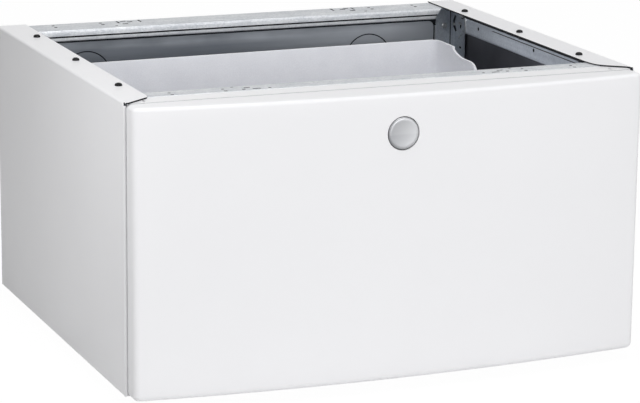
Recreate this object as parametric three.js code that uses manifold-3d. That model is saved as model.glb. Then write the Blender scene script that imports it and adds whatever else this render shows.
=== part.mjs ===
// Washer pedestal drawer: a steel cabinet that a laundry machine stands on, with a
// bowed drawer front, a plastic bin on telescopic slides and a push-button latch.
//
// Millimetres, +Z up. X runs across the front, Y runs from the front to the rear.
// All sizes below are measured from two datums: y = 0 is the front edge of the side
// panels and z = 0 is the floor. The finished group is then moved along Y, so that
// its origin is at the middle of the floor space that it covers.

import * as THREE from 'three';
import { mergeVertices } from 'three/addons/utils/BufferGeometryUtils.js';
import Module from 'manifold-3d';

const wasm = await Module();
wasm.setup();

// ---------------------------------------------------------------- driving sizes

// Cabinet
const CABINET_WIDTH = 685.8;
const CABINET_DEPTH = 555;
const BODY_HEIGHT = 366;
const FLOOR_CLEARANCE = 15;
const SHEET = 1.2;
const SEAM = 0.3;

// Side panels
const FLANGE_WIDTH = 40.5;
const BEND_RADIUS = 3;
const FRONT_RETURN = 14;
const REAR_RETURN = 16;
const BOTTOM_RETURN = 22;
const FLANGE_TIP = 6;
const FLANGE_SWEEP = 27;
const FLANGE_CURVE_WIDTH = 12;
const FLANGE_CURVE_DEPTH = 35;

// Machine fixing holes in the flanges, with a captive nut below each
const FIXING_HOLE_RADIUS = 4.5;
const FIXING_HOLE_INSET = 27.4;
const FIXING_HOLE_FRONT_SETBACK = 103;
const FIXING_HOLE_REAR_SETBACK = 99;
const FIXING_HOLE_COUNT = 3;
const NUT_WIDTH = 11;
const NUT_THICKNESS = 5;
const NUT_BORE_RADIUS = 3;

// Top rails
const TRIM_SETBACK = 2;
const TRIM_WIDTH = 29;
const TRIM_DROP = 20;
const FRONT_RAIL_WIDTH = 29;
const FRONT_RAIL_DROP = 20;
const REAR_RAIL_WIDTH = 53.5;
const REAR_RAIL_LIP = 14;
const REAR_RAIL_HEM = 2;
const REAR_RAIL_LIP_INSET = 41.9;
const REAR_RAIL_LIP_SLANT = 8;
const REAR_RAIL_SKIRT = 20;
const SIDE_RAIL_HEIGHT = 27;
const SIDE_RAIL_SETBACK = 5.6;
const SIDE_RAIL_FOOT = 22;
const SIDE_RAIL_SLOT_WIDTH = 3.5;
const SIDE_RAIL_SLOT_HEIGHT = 6;
const SIDE_RAIL_SLOT_DROP = 15;
const SIDE_RAIL_SLOT_SETBACK = 222;
const SIDE_RAIL_SLOT_PITCH = 173;
const NOTCH_WIDTH = 7;
const NOTCH_HEIGHT = 5;
const NOTCH_LEAD = 13;

// Slots pressed into the front and rear rails. Each one is mirrored about the
// middle of the rail: [distance from the middle, distance from the rail's front
// edge, length across, width].
const RAIL_SLOTS = [
  [269, 6, 7, 2.5],
  [278, 13, 7, 2.5],
  [206, 6, 6, 2.5],
  [196, 12, 6, 2.5],
  [178, 6, 18, 2.5],
  [166, 13, 18, 2.5],
  [145, 6, 6, 2.5],
];
const REAR_RAIL_SLOT_SETBACK = 27;

// Rear panel, with a raised band round a sunk field
const REAR_PANEL_TOP_GAP = 22.3;
const BAND_SIDE_MARGIN = 15.9;
const BAND_SIDE_WIDTH = 18;
const BAND_HEIGHT = 2.8;
const BAND_TOP_MARGIN = 1.2;
const BAND_TOP_WIDTH = 9;
const BAND_BOTTOM_MARGIN = 22;
const BAND_BOTTOM_WIDTH = 18;
const BAND_CORNER_RADIUS = 8;
const KNOCKOUT_SPACING = 412;
const KNOCKOUT_RADIUS = 36;
const KNOCKOUT_BEAD = 2.4;
const KNOCKOUT_PROUD = 1;
const KNOCKOUT_DROP = 91;

// Corner posts
const POST_INSET = 7.7;
const POST_REAR_LEG = 28;
const POST_FRONT_LEG = 16;
const POST_SIDE_LEG = 43;
const POST_SLOT_WIDTH = 4;
const POST_SLOT_HEIGHT = 12;
const POST_SLOT_COUNT = 5;
const REAR_POST_TOP_GAP = 17;
const FRONT_POST_TOP_GAP = 30;

// Base rails and levelling feet
const BASE_RAIL_HEIGHT = 17.5;
const BASE_SIDE_RAIL_WIDTH = 61;
const BASE_CROSS_RAIL_WIDTH = 41;
const FOOT_INSET = 43;
const FOOT_SETBACK = 70;
const FOOT_PAD_RADIUS = 18;
const FOOT_PAD_HEIGHT = 7;
const FOOT_PAD_BEVEL = 1;
const FOOT_SHOULDER_RUN = 3;
const FOOT_SHOULDER_DROP = 2;
const FOOT_NECK_RADIUS = 9;
const FOOT_NECK_HEIGHT = 5;
const FOOT_STUD_RADIUS = 4;
const FOOT_STUD_PROUD = 12;
const STUD_CLEARANCE = 0.6;
const FOOT_NUT_RADIUS = 8;
const FOOT_NUT_THICKNESS = 6.5;
const FOOT_NUT_SIDES = 6;

// Telescopic slides
const SLIDE_LENGTH = 450;
const SLIDE_SETBACK = 12;
const SLIDE_HEIGHT = 45;
const SLIDE_AXIS_HEIGHT = 205;
const SLIDE_OUTER_DEPTH = 10.5;
const SLIDE_MIDDLE_DEPTH = 8;
const SLIDE_INNER_DEPTH = 6.3;
const SLIDE_MIDDLE_STEP = 3;
const SLIDE_MIDDLE_PLAY = 0.9;
const SLIDE_INNER_PLAY = 2.2;
const SLIDE_THICKNESS = 12.3;
const SLIDE_SUPPORT_HEIGHT = 60;
const SLIDE_SUPPORT_FLANGE = 16.9;

// Drawer front
const FRONT_SIDE_GAP = 1.9;
const FRONT_TOP_GAP = 2;
const FRONT_BOTTOM_GAP = 0.5;
const FRONT_SHEET = 2;
const FRONT_GAP = 5;
const FRONT_END_DEPTH = 22;
const FRONT_BOW = 21;
const FRONT_EDGE_RADIUS = 8;
const FRONT_TOP_LIP = 3.5;
const BUMPER_RADIUS = 5;
const BUMPER_INSET = 5.1;
const BUMPER_LOW_LIFT = 24.5;
const BUMPER_HIGH_DROP = 39;

// Drawer rails and bin
const DRAWER_RAIL_REAR_INSET = 6.7;
const DRAWER_RAIL_BELOW = 35;
const DRAWER_RAIL_ABOVE = 53;
const DRAWER_RAIL_SHELF = 28;
const DRAWER_RAIL_TAB = 30;
const LEDGE_THICKNESS = 3;
const LEDGE_FRONT = 15;
const LEDGE_REAR_INSET = 10;
const BIN_WALL = 3;
const BIN_FLOOR_HEIGHT = 50;
const BIN_TOP_GAP = 36;
const BIN_SIDE_GAP = 2.9;
const BIN_FRONT = 6;
const BIN_REAR = 456;
const BIN_DRAFT = 8;
const BIN_CORNER_RADIUS = 14;
const BIN_REAR_SHOULDER = 397;
const BIN_SHOULDER_DROP = 11.5;
const BIN_SHOULDER_RUN = 21;
const BIN_STEP_START = 352;
const BIN_STEP_RUN = 67;

// Push-button latch
const BUTTON_RADIUS = 20.5;
const BUTTON_CLEARANCE = 0.8;
const BUTTON_DROP = 51.5;
const BUTTON_PROUD = 1.5;
const BUTTON_RIM_RADIUS = 2;
const BUTTON_DISH = 1.4;
const BUTTON_SKIRT = 9;
const BUTTON_WALL = 3;
const STEM_RADIUS = 5;
const STEM_GAP = 1.5;
const HOUSING_WALL = 2;
const HOUSING_MARGIN = 13.5;
const HOUSING_FRONT_GAP = 0.6;
const LEVER_WIDTH = 12;
const LEVER_THICKNESS = 5;
const LEVER_PIVOT_LEAD = 13.8;
const LEVER_PIVOT_DROP = 17.5;
const LEVER_EYE_RADIUS = 5.5;
const LEVER_ARM_HEIGHT = 7;
const LEVER_ARM_LIFT = 10;
const HOOK_LENGTH = 5;
const HOOK_GAP = 2.8;
const HOOK_CLEARANCE = 0.5;
const PIVOT_PIN_RADIUS = 2.5;
const PIVOT_CLEARANCE = 0.4;
const STRIKER_SETBACK = 9;
const STRIKER_WIDTH = 24;
const STRIKER_DROP = 26;
const ARM_SLOT_SIDE_GAP = 3;
const ARM_SLOT_MARGIN = 6;

// Rear post screws
const SCREW_HEAD_RADIUS = 4.5;
const SCREW_HEAD_HEIGHT = 2.2;
const SCREW_INSET = 9.5;
const SCREW_DROP = 36;

// Facets on round and bowed shapes
const HOLE_FACETS = 14;
const ROUND_FACETS = 28;
const EDGE_STEPS = 5;
const DISH_STEPS = 3;
const BOW_STATIONS = 22;

// How far a cut runs past the sheet that it goes through
const OVERCUT = 1;

// --------------------------------------------------------------- worked-out sizes

const HALF = CABINET_WIDTH / 2;
const TOP = FLOOR_CLEARANCE + BODY_HEIGHT;
const FLANGE_EDGE = HALF - FLANGE_WIDTH;
const RAIL_TOP = TOP - SHEET - SEAM;
const RAIL_BOTTOM_FACE = RAIL_TOP - SHEET;
const RAIL_HALF = HALF - BEND_RADIUS;
const FRONT_RAIL_START = TRIM_SETBACK + TRIM_WIDTH + SEAM;
const FRONT_RAIL_END = FRONT_RAIL_START + FRONT_RAIL_WIDTH;
const REAR_RAIL_END = CABINET_DEPTH - SHEET - SEAM;
const REAR_RAIL_START = REAR_RAIL_END - REAR_RAIL_WIDTH;
const SIDE_RAIL_WEB = FLANGE_EDGE + SIDE_RAIL_SETBACK;
const SIDE_RAIL_START = FRONT_RAIL_END + SEAM;
const SIDE_RAIL_END = REAR_RAIL_START - SEAM;
const REAR_RAIL_LIP_HALF = RAIL_HALF - REAR_RAIL_LIP_INSET;
const BAND_OUTER_HALF = RAIL_HALF - BAND_SIDE_MARGIN;
const BAND_INNER_HALF = BAND_OUTER_HALF - BAND_SIDE_WIDTH;
const BAND_FACE = REAR_RAIL_END - SHEET - BAND_HEIGHT;
const POST_FACE = HALF - POST_INSET;
const BASE_BOTTOM = FLOOR_CLEARANCE + SHEET + SEAM;
const BASE_TOP = BASE_BOTTOM + BASE_RAIL_HEIGHT;
const SUPPORT_FACE = POST_FACE - SHEET - SEAM - SLIDE_SUPPORT_FLANGE;
const SLIDE_BACK = SUPPORT_FACE - SEAM;
const DRAWER_RAIL_FACE = SLIDE_BACK - SLIDE_THICKNESS - SEAM;
const SLIDE_END = SLIDE_SETBACK + SLIDE_LENGTH;
const FRONT_HALF = HALF - FRONT_SIDE_GAP;
const FRONT_TOP = TOP - FRONT_TOP_GAP;
const FRONT_BOTTOM = FLOOR_CLEARANCE + FRONT_BOTTOM_GAP;
const FRONT_FACE = -FRONT_GAP - FRONT_END_DEPTH - FRONT_BOW;
const PANEL_FRONT = -FRONT_GAP - SHEET;
const DRAWER_RAIL_TOP = SLIDE_AXIS_HEIGHT + DRAWER_RAIL_ABOVE;
const LEDGE_HEIGHT = DRAWER_RAIL_TOP + SEAM;
const BIN_TOP = TOP - BIN_TOP_GAP;
const BIN_HALF_WIDTH = DRAWER_RAIL_FACE - DRAWER_RAIL_SHELF - BIN_SIDE_GAP;
const BIN_LOW_WALL_RIM = LEDGE_HEIGHT + LEDGE_THICKNESS;
const BUTTON_HEIGHT = TOP - BUTTON_DROP;
const BUTTON_BORE_RADIUS = BUTTON_RADIUS + BUTTON_CLEARANCE;
const PIVOT_HEIGHT = BUTTON_HEIGHT - LEVER_PIVOT_DROP;
const LEVER_PIVOT_Y = PANEL_FRONT - LEVER_PIVOT_LEAD;
const LEVER_FRONT = LEVER_PIVOT_Y - LEVER_THICKNESS / 2;
const ARM_BOTTOM = BUTTON_HEIGHT + LEVER_ARM_LIFT;
const ARM_TOP = ARM_BOTTOM + LEVER_ARM_HEIGHT;
const STRIKER_BOTTOM = RAIL_BOTTOM_FACE - STRIKER_DROP;
const HOOK_FRONT = STRIKER_SETBACK + SHEET + HOOK_GAP;
const HOUSING_HALF_WIDTH = BUTTON_RADIUS + HOUSING_MARGIN;
const PEDESTAL_FRONT = FRONT_FACE - BUTTON_PROUD;

// ------------------------------------------------------------------ solid helpers

// Turns a closed three.js geometry into a solid that can be joined and cut.
function toSolid(geometry) {
  geometry.deleteAttribute('normal');
  geometry.deleteAttribute('uv');
  const merged = mergeVertices(geometry, 1e-4);
  const mesh = new wasm.Mesh({
    numProp: 3,
    vertProperties: new Float32Array(merged.attributes.position.array),
    triVerts: new Uint32Array(merged.index.array),
  });
  return new wasm.Manifold(mesh);
}

// Turns a solid back into a geometry. A mirrored one has its faces turned round,
// so that they still point out.
function toGeometry(solid, mirror = false) {
  const mesh = solid.getMesh();
  const positions = Float32Array.from(mesh.vertProperties);
  const triangles = Uint32Array.from(mesh.triVerts);
  if (mirror) {
    for (let i = 0; i < positions.length; i += 3) {
      positions[i] *= -1;
    }
    for (let i = 0; i < triangles.length; i += 3) {
      const first = triangles[i];
      triangles[i] = triangles[i + 1];
      triangles[i + 1] = first;
    }
  }
  const geometry = new THREE.BufferGeometry();
  geometry.setAttribute('position', new THREE.BufferAttribute(positions, 3));
  geometry.setIndex(new THREE.BufferAttribute(triangles, 1));
  geometry.computeVertexNormals();
  return geometry;
}

// A box between two values on each axis, given in either order.
function box([x0, x1], [y0, y1], [z0, z1]) {
  const geometry = new THREE.BoxGeometry(Math.abs(x1 - x0), Math.abs(y1 - y0), Math.abs(z1 - z0));
  geometry.translate((x0 + x1) / 2, (y0 + y1) / 2, (z0 + z1) / 2);
  return toSolid(geometry);
}

// Points along an arc, from one angle to another, in degrees.
function arc(u, v, radius, from, to, steps) {
  return Array.from({ length: steps + 1 }, (_, i) => {
    const angle = THREE.MathUtils.degToRad(from + ((to - from) * i) / steps);
    return [u + radius * Math.cos(angle), v + radius * Math.sin(angle)];
  });
}

// Points along a smooth S between two points, flat at both ends.
function bend([u0, v0], [u1, v1], steps) {
  return Array.from({ length: steps + 1 }, (_, i) => {
    const t = i / steps;
    return [u0 + (u1 - u0) * t, v0 + (v1 - v0) * THREE.MathUtils.smoothstep(t, 0, 1)];
  });
}

// An outline pushed along an axis. Along x its points are (y, z), along y they are
// (x, z) and along z they are (x, y).
function prism(points, axis, from, to) {
  const shape = new THREE.Shape(points.map(([u, v]) => new THREE.Vector2(u, v)));
  const geometry = new THREE.ExtrudeGeometry(shape, { depth: to - from, bevelEnabled: false });
  const place = new THREE.Matrix4();
  if (axis === 'x') {
    place.set(0, 0, 1, from, 1, 0, 0, 0, 0, 1, 0, 0, 0, 0, 0, 1);
  } else if (axis === 'y') {
    place.set(1, 0, 0, 0, 0, 0, -1, to, 0, 1, 0, 0, 0, 0, 0, 1);
  } else {
    place.makeTranslation(0, 0, from);
  }
  return toSolid(geometry.applyMatrix4(place));
}

// A rectangle with round corners, as points.
function roundedRectangle([u0, u1], [v0, v1], radius, steps = EDGE_STEPS) {
  return [
    ...arc(u1 - radius, v1 - radius, radius, 0, 90, steps),
    ...arc(u0 + radius, v1 - radius, radius, 90, 180, steps),
    ...arc(u0 + radius, v0 + radius, radius, 180, 270, steps),
    ...arc(u1 - radius, v0 + radius, radius, 270, 360, steps),
  ];
}

// A round bar along an axis, from one value to another.
function rod(axis, [u, v], [from, to], radius, facets = HOLE_FACETS) {
  return prism(arc(u, v, radius, 0, 360 - 360 / facets, facets - 1), axis, from, to);
}

// A solid of revolution. The outline is [radius, distance along the axis].
function turned(outline, facets, place) {
  const points = outline.map(([r, d]) => new THREE.Vector2(r, d));
  const geometry = new THREE.LatheGeometry(points, facets);
  return toSolid(geometry.applyMatrix4(place));
}

// A closed body through rings of equal length, each a convex loop of [x, y, z].
function loft(rings) {
  const count = rings[0].length;
  const index = [];
  for (let ring = 0; ring + 1 < rings.length; ring += 1) {
    for (let i = 0; i < count; i += 1) {
      const a = ring * count + i;
      const b = ring * count + ((i + 1) % count);
      index.push(a, b, b + count, a, b + count, a + count);
    }
  }
  const last = (rings.length - 1) * count;
  for (let i = 1; i + 1 < count; i += 1) {
    index.push(0, i + 1, i);
    index.push(last, last + i, last + i + 1);
  }
  const geometry = new THREE.BufferGeometry();
  geometry.setAttribute('position', new THREE.Float32BufferAttribute(rings.flat(2), 3));
  geometry.setIndex(index);
  return toSolid(geometry);
}

// ---------------------------------------------------------------------- finishes

function finish(color, metalness, roughness) {
  return () => new THREE.MeshStandardMaterial({ color, metalness, roughness });
}

const whitePaint = finish(0xf0f1f3, 0, 0.35);
const galvanisedSteel = finish(0xa9adb0, 0.8, 0.42);
const darkSteel = finish(0x6b7178, 0.7, 0.4);
const zincSteel = finish(0xb9bcc0, 0.9, 0.35);
const greyPlastic = finish(0xcfd1d4, 0, 0.55);
const darkPlastic = finish(0x3a3c3f, 0, 0.5);
const blackRubber = finish(0x222324, 0, 0.8);
const satinMetal = finish(0xc4c5c7, 0.9, 0.3);

// ------------------------------------------------------------------------- group

const pedestal = new THREE.Group();

function addPiece(name, solid, material, mirror = false) {
  const mesh = new THREE.Mesh(toGeometry(solid, mirror), material());
  mesh.name = name;
  pedestal.add(mesh);
}

// Adds a piece that is drawn for the right-hand side, and its mirror image.
function addPair(name, solid, material) {
  addPiece(`${name}_right`, solid, material);
  addPiece(`${name}_left`, solid, material, true);
}

// The machine fixing holes are evenly spaced between the first and the last.
const fixingHoleSetbacks = Array.from({ length: FIXING_HOLE_COUNT }, (_, i) =>
  THREE.MathUtils.lerp(
    FIXING_HOLE_FRONT_SETBACK,
    CABINET_DEPTH - FIXING_HOLE_REAR_SETBACK,
    i / (FIXING_HOLE_COUNT - 1),
  ),
);

function fixingHole(setback, radius = FIXING_HOLE_RADIUS) {
  const heights = [RAIL_TOP - SIDE_RAIL_HEIGHT - OVERCUT, TOP + OVERCUT];
  return rod('z', [HALF - FIXING_HOLE_INSET, setback], heights, radius);
}

// -------------------------------------------------------------------- side panels

// The block that a side panel wraps, grown or shrunk by an inset.
function panelBlock(inset, reach) {
  const radius = BEND_RADIUS - inset;
  const side = HALF - inset;
  const top = TOP - inset;
  const front = inset;
  const across = prism(
    [
      [reach, FLOOR_CLEARANCE + inset],
      [side, FLOOR_CLEARANCE + inset],
      ...arc(side - radius, top - radius, radius, 0, 90, EDGE_STEPS),
      [reach, top],
    ],
    'y',
    inset,
    CABINET_DEPTH - inset,
  );
  const down = prism(
    [
      [reach, CABINET_DEPTH],
      [reach, front],
      ...arc(side - radius, front + radius, radius, 270, 360, EDGE_STEPS),
      [side, CABINET_DEPTH],
    ],
    'z',
    FLOOR_CLEARANCE,
    TOP,
  );
  return across.intersect(down);
}

// What is cut off the flange's front end: it runs back from the tip and then
// turns into the flange's inner edge in a soft curve.
function flangeSweep() {
  const tip = new THREE.Vector2(HALF - FLANGE_TIP, 0);
  const corner = new THREE.Vector2(FLANGE_EDGE, FLANGE_SWEEP);
  const along = FLANGE_CURVE_WIDTH / (tip.x - corner.x);
  const curve = new THREE.QuadraticBezierCurve(
    corner.clone().lerp(tip, along),
    corner,
    new THREE.Vector2(FLANGE_EDGE, FLANGE_SWEEP + FLANGE_CURVE_DEPTH),
  );
  const outline = [
    [tip.x, -OVERCUT],
    [tip.x, tip.y],
    ...curve.getPoints(2 * EDGE_STEPS).map((point) => [point.x, point.y]),
    [FLANGE_EDGE - OVERCUT, FLANGE_SWEEP + FLANGE_CURVE_DEPTH],
    [FLANGE_EDGE - OVERCUT, -OVERCUT],
  ];
  return prism(outline, 'z', TOP - SHEET - SEAM / 2, TOP + OVERCUT);
}

function sidePanel() {
  const beyond = FLANGE_EDGE - OVERCUT;
  let panel = panelBlock(0, FLANGE_EDGE).subtract(panelBlock(SHEET, beyond));
  const underFlange = [FLOOR_CLEARANCE - OVERCUT, TOP - SHEET];
  panel = panel.subtract(
    box([beyond, HALF - FRONT_RETURN], [-OVERCUT, SHEET + OVERCUT], underFlange),
  );
  panel = panel.subtract(
    box(
      [beyond, HALF - REAR_RETURN],
      [CABINET_DEPTH - SHEET - OVERCUT, CABINET_DEPTH + OVERCUT],
      underFlange,
    ),
  );
  panel = panel.subtract(
    box(
      [beyond, HALF - BOTTOM_RETURN],
      [-OVERCUT, CABINET_DEPTH + OVERCUT],
      [FLOOR_CLEARANCE - OVERCUT, FLOOR_CLEARANCE + SHEET + OVERCUT],
    ),
  );
  panel = panel.subtract(flangeSweep());
  for (const setback of fixingHoleSetbacks) {
    panel = panel.subtract(fixingHole(setback));
  }
  return panel;
}

// -------------------------------------------------------------------- top rails

// Cuts the mirrored pattern of slots through the top of a rail.
function cutRailSlots(rail, railFront) {
  let cut = rail;
  for (const [offset, setback, length, width] of RAIL_SLOTS) {
    for (const side of [-1, 1]) {
      const x = side * offset;
      const y = railFront + setback;
      cut = cut.subtract(
        box(
          [x - length / 2, x + length / 2],
          [y - width / 2, y + width / 2],
          [RAIL_BOTTOM_FACE - OVERCUT, RAIL_TOP + OVERCUT],
        ),
      );
    }
  }
  return cut;
}

function frontTrim() {
  const back = TRIM_SETBACK + TRIM_WIDTH;
  const corner = TRIM_SETBACK + BEND_RADIUS;
  const outline = [
    [back, RAIL_TOP],
    ...arc(corner, RAIL_TOP - BEND_RADIUS, BEND_RADIUS, 90, 180, EDGE_STEPS),
    [TRIM_SETBACK, RAIL_TOP - TRIM_DROP],
    [TRIM_SETBACK + SHEET, RAIL_TOP - TRIM_DROP],
    ...arc(corner, RAIL_TOP - BEND_RADIUS, BEND_RADIUS - SHEET, 180, 90, EDGE_STEPS),
    [back, RAIL_BOTTOM_FACE],
  ];
  return prism(outline, 'x', -RAIL_HALF, RAIL_HALF);
}

function frontRail() {
  const under = RAIL_TOP - FRONT_RAIL_DROP;
  const rail = box([-RAIL_HALF, RAIL_HALF], [FRONT_RAIL_START, FRONT_RAIL_END], [under, RAIL_TOP]).subtract(
    box(
      [-HALF, HALF],
      [FRONT_RAIL_START + SHEET, FRONT_RAIL_END - SHEET],
      [under - OVERCUT, RAIL_BOTTOM_FACE],
    ),
  );
  return cutRailSlots(rail, FRONT_RAIL_START);
}

function rearRail() {
  const top = box([-RAIL_HALF, RAIL_HALF], [REAR_RAIL_START, REAR_RAIL_END], [RAIL_BOTTOM_FACE, RAIL_TOP]);
  const lipBottom = RAIL_TOP - REAR_RAIL_LIP;
  const lowHalf = REAR_RAIL_LIP_HALF - REAR_RAIL_LIP_SLANT;
  const lip = prism(
    [
      [-REAR_RAIL_LIP_HALF, RAIL_TOP],
      [-lowHalf, lipBottom],
      [lowHalf, lipBottom],
      [REAR_RAIL_LIP_HALF, RAIL_TOP],
    ],
    'y',
    REAR_RAIL_START,
    REAR_RAIL_START + SHEET,
  );
  const hem = box(
    [-lowHalf, lowHalf],
    [REAR_RAIL_START, REAR_RAIL_START + 2 * SHEET],
    [lipBottom, lipBottom + REAR_RAIL_HEM],
  );
  const skirtHalf = HALF - REAR_RETURN - SEAM;
  const skirt = box(
    [-skirtHalf, skirtHalf],
    [REAR_RAIL_END - SHEET, REAR_RAIL_END],
    [RAIL_TOP - REAR_RAIL_SKIRT, RAIL_TOP],
  );
  return cutRailSlots(top.add(lip).add(hem).add(skirt), REAR_RAIL_START + REAR_RAIL_SLOT_SETBACK);
}

function sideRail() {
  const bottom = RAIL_TOP - SIDE_RAIL_HEIGHT;
  const run = [SIDE_RAIL_START, SIDE_RAIL_END];
  const web = box([SIDE_RAIL_WEB, SIDE_RAIL_WEB + SHEET], run, [bottom, RAIL_TOP]);
  const shelf = box([SIDE_RAIL_WEB, RAIL_HALF], run, [RAIL_BOTTOM_FACE, RAIL_TOP]);
  const foot = box([SIDE_RAIL_WEB, SIDE_RAIL_WEB + SIDE_RAIL_FOOT], run, [bottom, bottom + SHEET]);
  let rail = web.add(shelf).add(foot);
  const throughWeb = [SIDE_RAIL_WEB - OVERCUT, SIDE_RAIL_WEB + SHEET + OVERCUT];
  for (const setback of fixingHoleSetbacks) {
    rail = rail.subtract(fixingHole(setback));
    const notch = setback - NOTCH_LEAD;
    rail = rail.subtract(
      box(
        throughWeb,
        [notch - NOTCH_WIDTH / 2, notch + NOTCH_WIDTH / 2],
        [RAIL_BOTTOM_FACE - NOTCH_HEIGHT, RAIL_BOTTOM_FACE],
      ),
    );
  }
  for (const step of [0, 1]) {
    const slot = SIDE_RAIL_SLOT_SETBACK + step * SIDE_RAIL_SLOT_PITCH;
    const middle = TOP - SIDE_RAIL_SLOT_DROP;
    rail = rail.subtract(
      box(
        throughWeb,
        [slot - SIDE_RAIL_SLOT_WIDTH / 2, slot + SIDE_RAIL_SLOT_WIDTH / 2],
        [middle - SIDE_RAIL_SLOT_HEIGHT / 2, middle + SIDE_RAIL_SLOT_HEIGHT / 2],
      ),
    );
  }
  return rail;
}

function captiveNut(setback) {
  const x = HALF - FIXING_HOLE_INSET;
  const half = NUT_WIDTH / 2;
  const top = RAIL_BOTTOM_FACE - SEAM;
  const nut = box([x - half, x + half], [setback - half, setback + half], [top - NUT_THICKNESS, top]);
  return nut.subtract(fixingHole(setback, NUT_BORE_RADIUS));
}

// -------------------------------------------------------------------- rear panel

function rearPanel() {
  const back = REAR_RAIL_END;
  const bottom = BASE_BOTTOM;
  const top = TOP - REAR_PANEL_TOP_GAP;
  const sheet = box([-RAIL_HALF, RAIL_HALF], [back - SHEET, back], [bottom, top]);
  const outerHeights = [bottom + BAND_BOTTOM_MARGIN, top - BAND_TOP_MARGIN];
  const innerHeights = [outerHeights[0] + BAND_BOTTOM_WIDTH, outerHeights[1] - BAND_TOP_WIDTH];
  const field = (half, heights, grow, from, to) =>
    prism(
      roundedRectangle(
        [-half - grow, half + grow],
        [heights[0] - grow, heights[1] + grow],
        BAND_CORNER_RADIUS + grow,
      ),
      'y',
      from,
      to,
    );
  const band = field(BAND_OUTER_HALF, outerHeights, 0, BAND_FACE, back);
  const sunk = field(BAND_INNER_HALF, innerHeights, 0, BAND_FACE - OVERCUT, back - SHEET);
  const hollow = field(
    BAND_OUTER_HALF,
    outerHeights,
    -SHEET,
    BAND_FACE + SHEET,
    back + OVERCUT,
  ).subtract(field(BAND_INNER_HALF, innerHeights, SHEET, BAND_FACE, back + 2 * OVERCUT));
  let panel = sheet.add(band).subtract(sunk).subtract(hollow);
  for (const side of [-1, 1]) {
    const centre = [(side * KNOCKOUT_SPACING) / 2, TOP - KNOCKOUT_DROP];
    const face = back - SHEET - KNOCKOUT_PROUD;
    const bead = rod('y', centre, [face, back], KNOCKOUT_RADIUS, ROUND_FACETS).subtract(
      rod('y', centre, [face - OVERCUT, back - SHEET], KNOCKOUT_RADIUS - KNOCKOUT_BEAD, ROUND_FACETS),
    );
    panel = panel.add(bead);
  }
  return panel;
}

// ------------------------------------------------------------------ corner posts

// A row of slots up the side leg of a post.
function cutPostSlots(post, middle, bottom, top) {
  let cut = post;
  for (let i = 0; i < POST_SLOT_COUNT; i += 1) {
    const z = bottom + ((top - bottom) * (i + 0.5)) / POST_SLOT_COUNT;
    cut = cut.subtract(
      box(
        [POST_FACE - SHEET - OVERCUT, POST_FACE + OVERCUT],
        [middle - POST_SLOT_WIDTH / 2, middle + POST_SLOT_WIDTH / 2],
        [z - POST_SLOT_HEIGHT / 2, z + POST_SLOT_HEIGHT / 2],
      ),
    );
  }
  return cut;
}

function rearPost() {
  const back = BAND_FACE - SEAM;
  const front = back - POST_SIDE_LEG;
  const heights = [BASE_TOP + SEAM, TOP - REAR_POST_TOP_GAP];
  const sideLeg = box([POST_FACE - SHEET, POST_FACE], [front, back], heights);
  const rearLeg = box([POST_FACE - POST_REAR_LEG, POST_FACE], [back - SHEET, back], heights);
  return cutPostSlots(sideLeg.add(rearLeg), front + POST_SIDE_LEG / 2, ...heights);
}

function frontPost() {
  const front = SHEET + SEAM;
  const heights = [BASE_TOP + SEAM, TOP - FRONT_POST_TOP_GAP];
  const sideLeg = box([POST_FACE - SHEET, POST_FACE], [front, front + POST_SIDE_LEG], heights);
  const frontLeg = box([POST_FACE - POST_FRONT_LEG, POST_FACE], [front, front + SHEET], heights);
  return cutPostSlots(sideLeg.add(frontLeg), front + POST_SIDE_LEG / 2, ...heights);
}

function rearScrew() {
  const x = POST_FACE - SCREW_INSET;
  const seat = BAND_FACE - SEAM - SHEET - SEAM;
  const tip = seat - SCREW_HEAD_HEIGHT;
  return rod('y', [x, TOP - SCREW_DROP], [tip, seat], SCREW_HEAD_RADIUS);
}

// --------------------------------------------------------------- base and feet

// A channel that is open at the bottom.
function baseChannel(xs, ys, openAlong) {
  const shell = box(xs, ys, [BASE_BOTTOM, BASE_TOP]);
  const inside = [BASE_BOTTOM - OVERCUT, BASE_TOP - SHEET];
  const narrowed = ([from, to]) => [from + SHEET, to - SHEET];
  const lengthened = ([from, to]) => [from - OVERCUT, to + OVERCUT];
  if (openAlong === 'x') {
    return shell.subtract(box(lengthened(xs), narrowed(ys), inside));
  }
  return shell.subtract(box(narrowed(xs), lengthened(ys), inside));
}

const baseFront = SHEET + SEAM;
const baseRear = REAR_RAIL_END - SHEET - SEAM;
const footX = HALF - FOOT_INSET;
const footRows = { front: FOOT_SETBACK, rear: CABINET_DEPTH - FOOT_SETBACK };

function baseSideRail() {
  let rail = baseChannel(
    [RAIL_HALF - BASE_SIDE_RAIL_WIDTH, RAIL_HALF],
    [baseFront + BASE_CROSS_RAIL_WIDTH + SEAM, baseRear - BASE_CROSS_RAIL_WIDTH - SEAM],
    'y',
  );
  for (const setback of Object.values(footRows)) {
    rail = rail.subtract(
      rod('z', [footX, setback], [BASE_BOTTOM, BASE_TOP + OVERCUT], FOOT_STUD_RADIUS + STUD_CLEARANCE),
    );
  }
  return rail;
}

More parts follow.
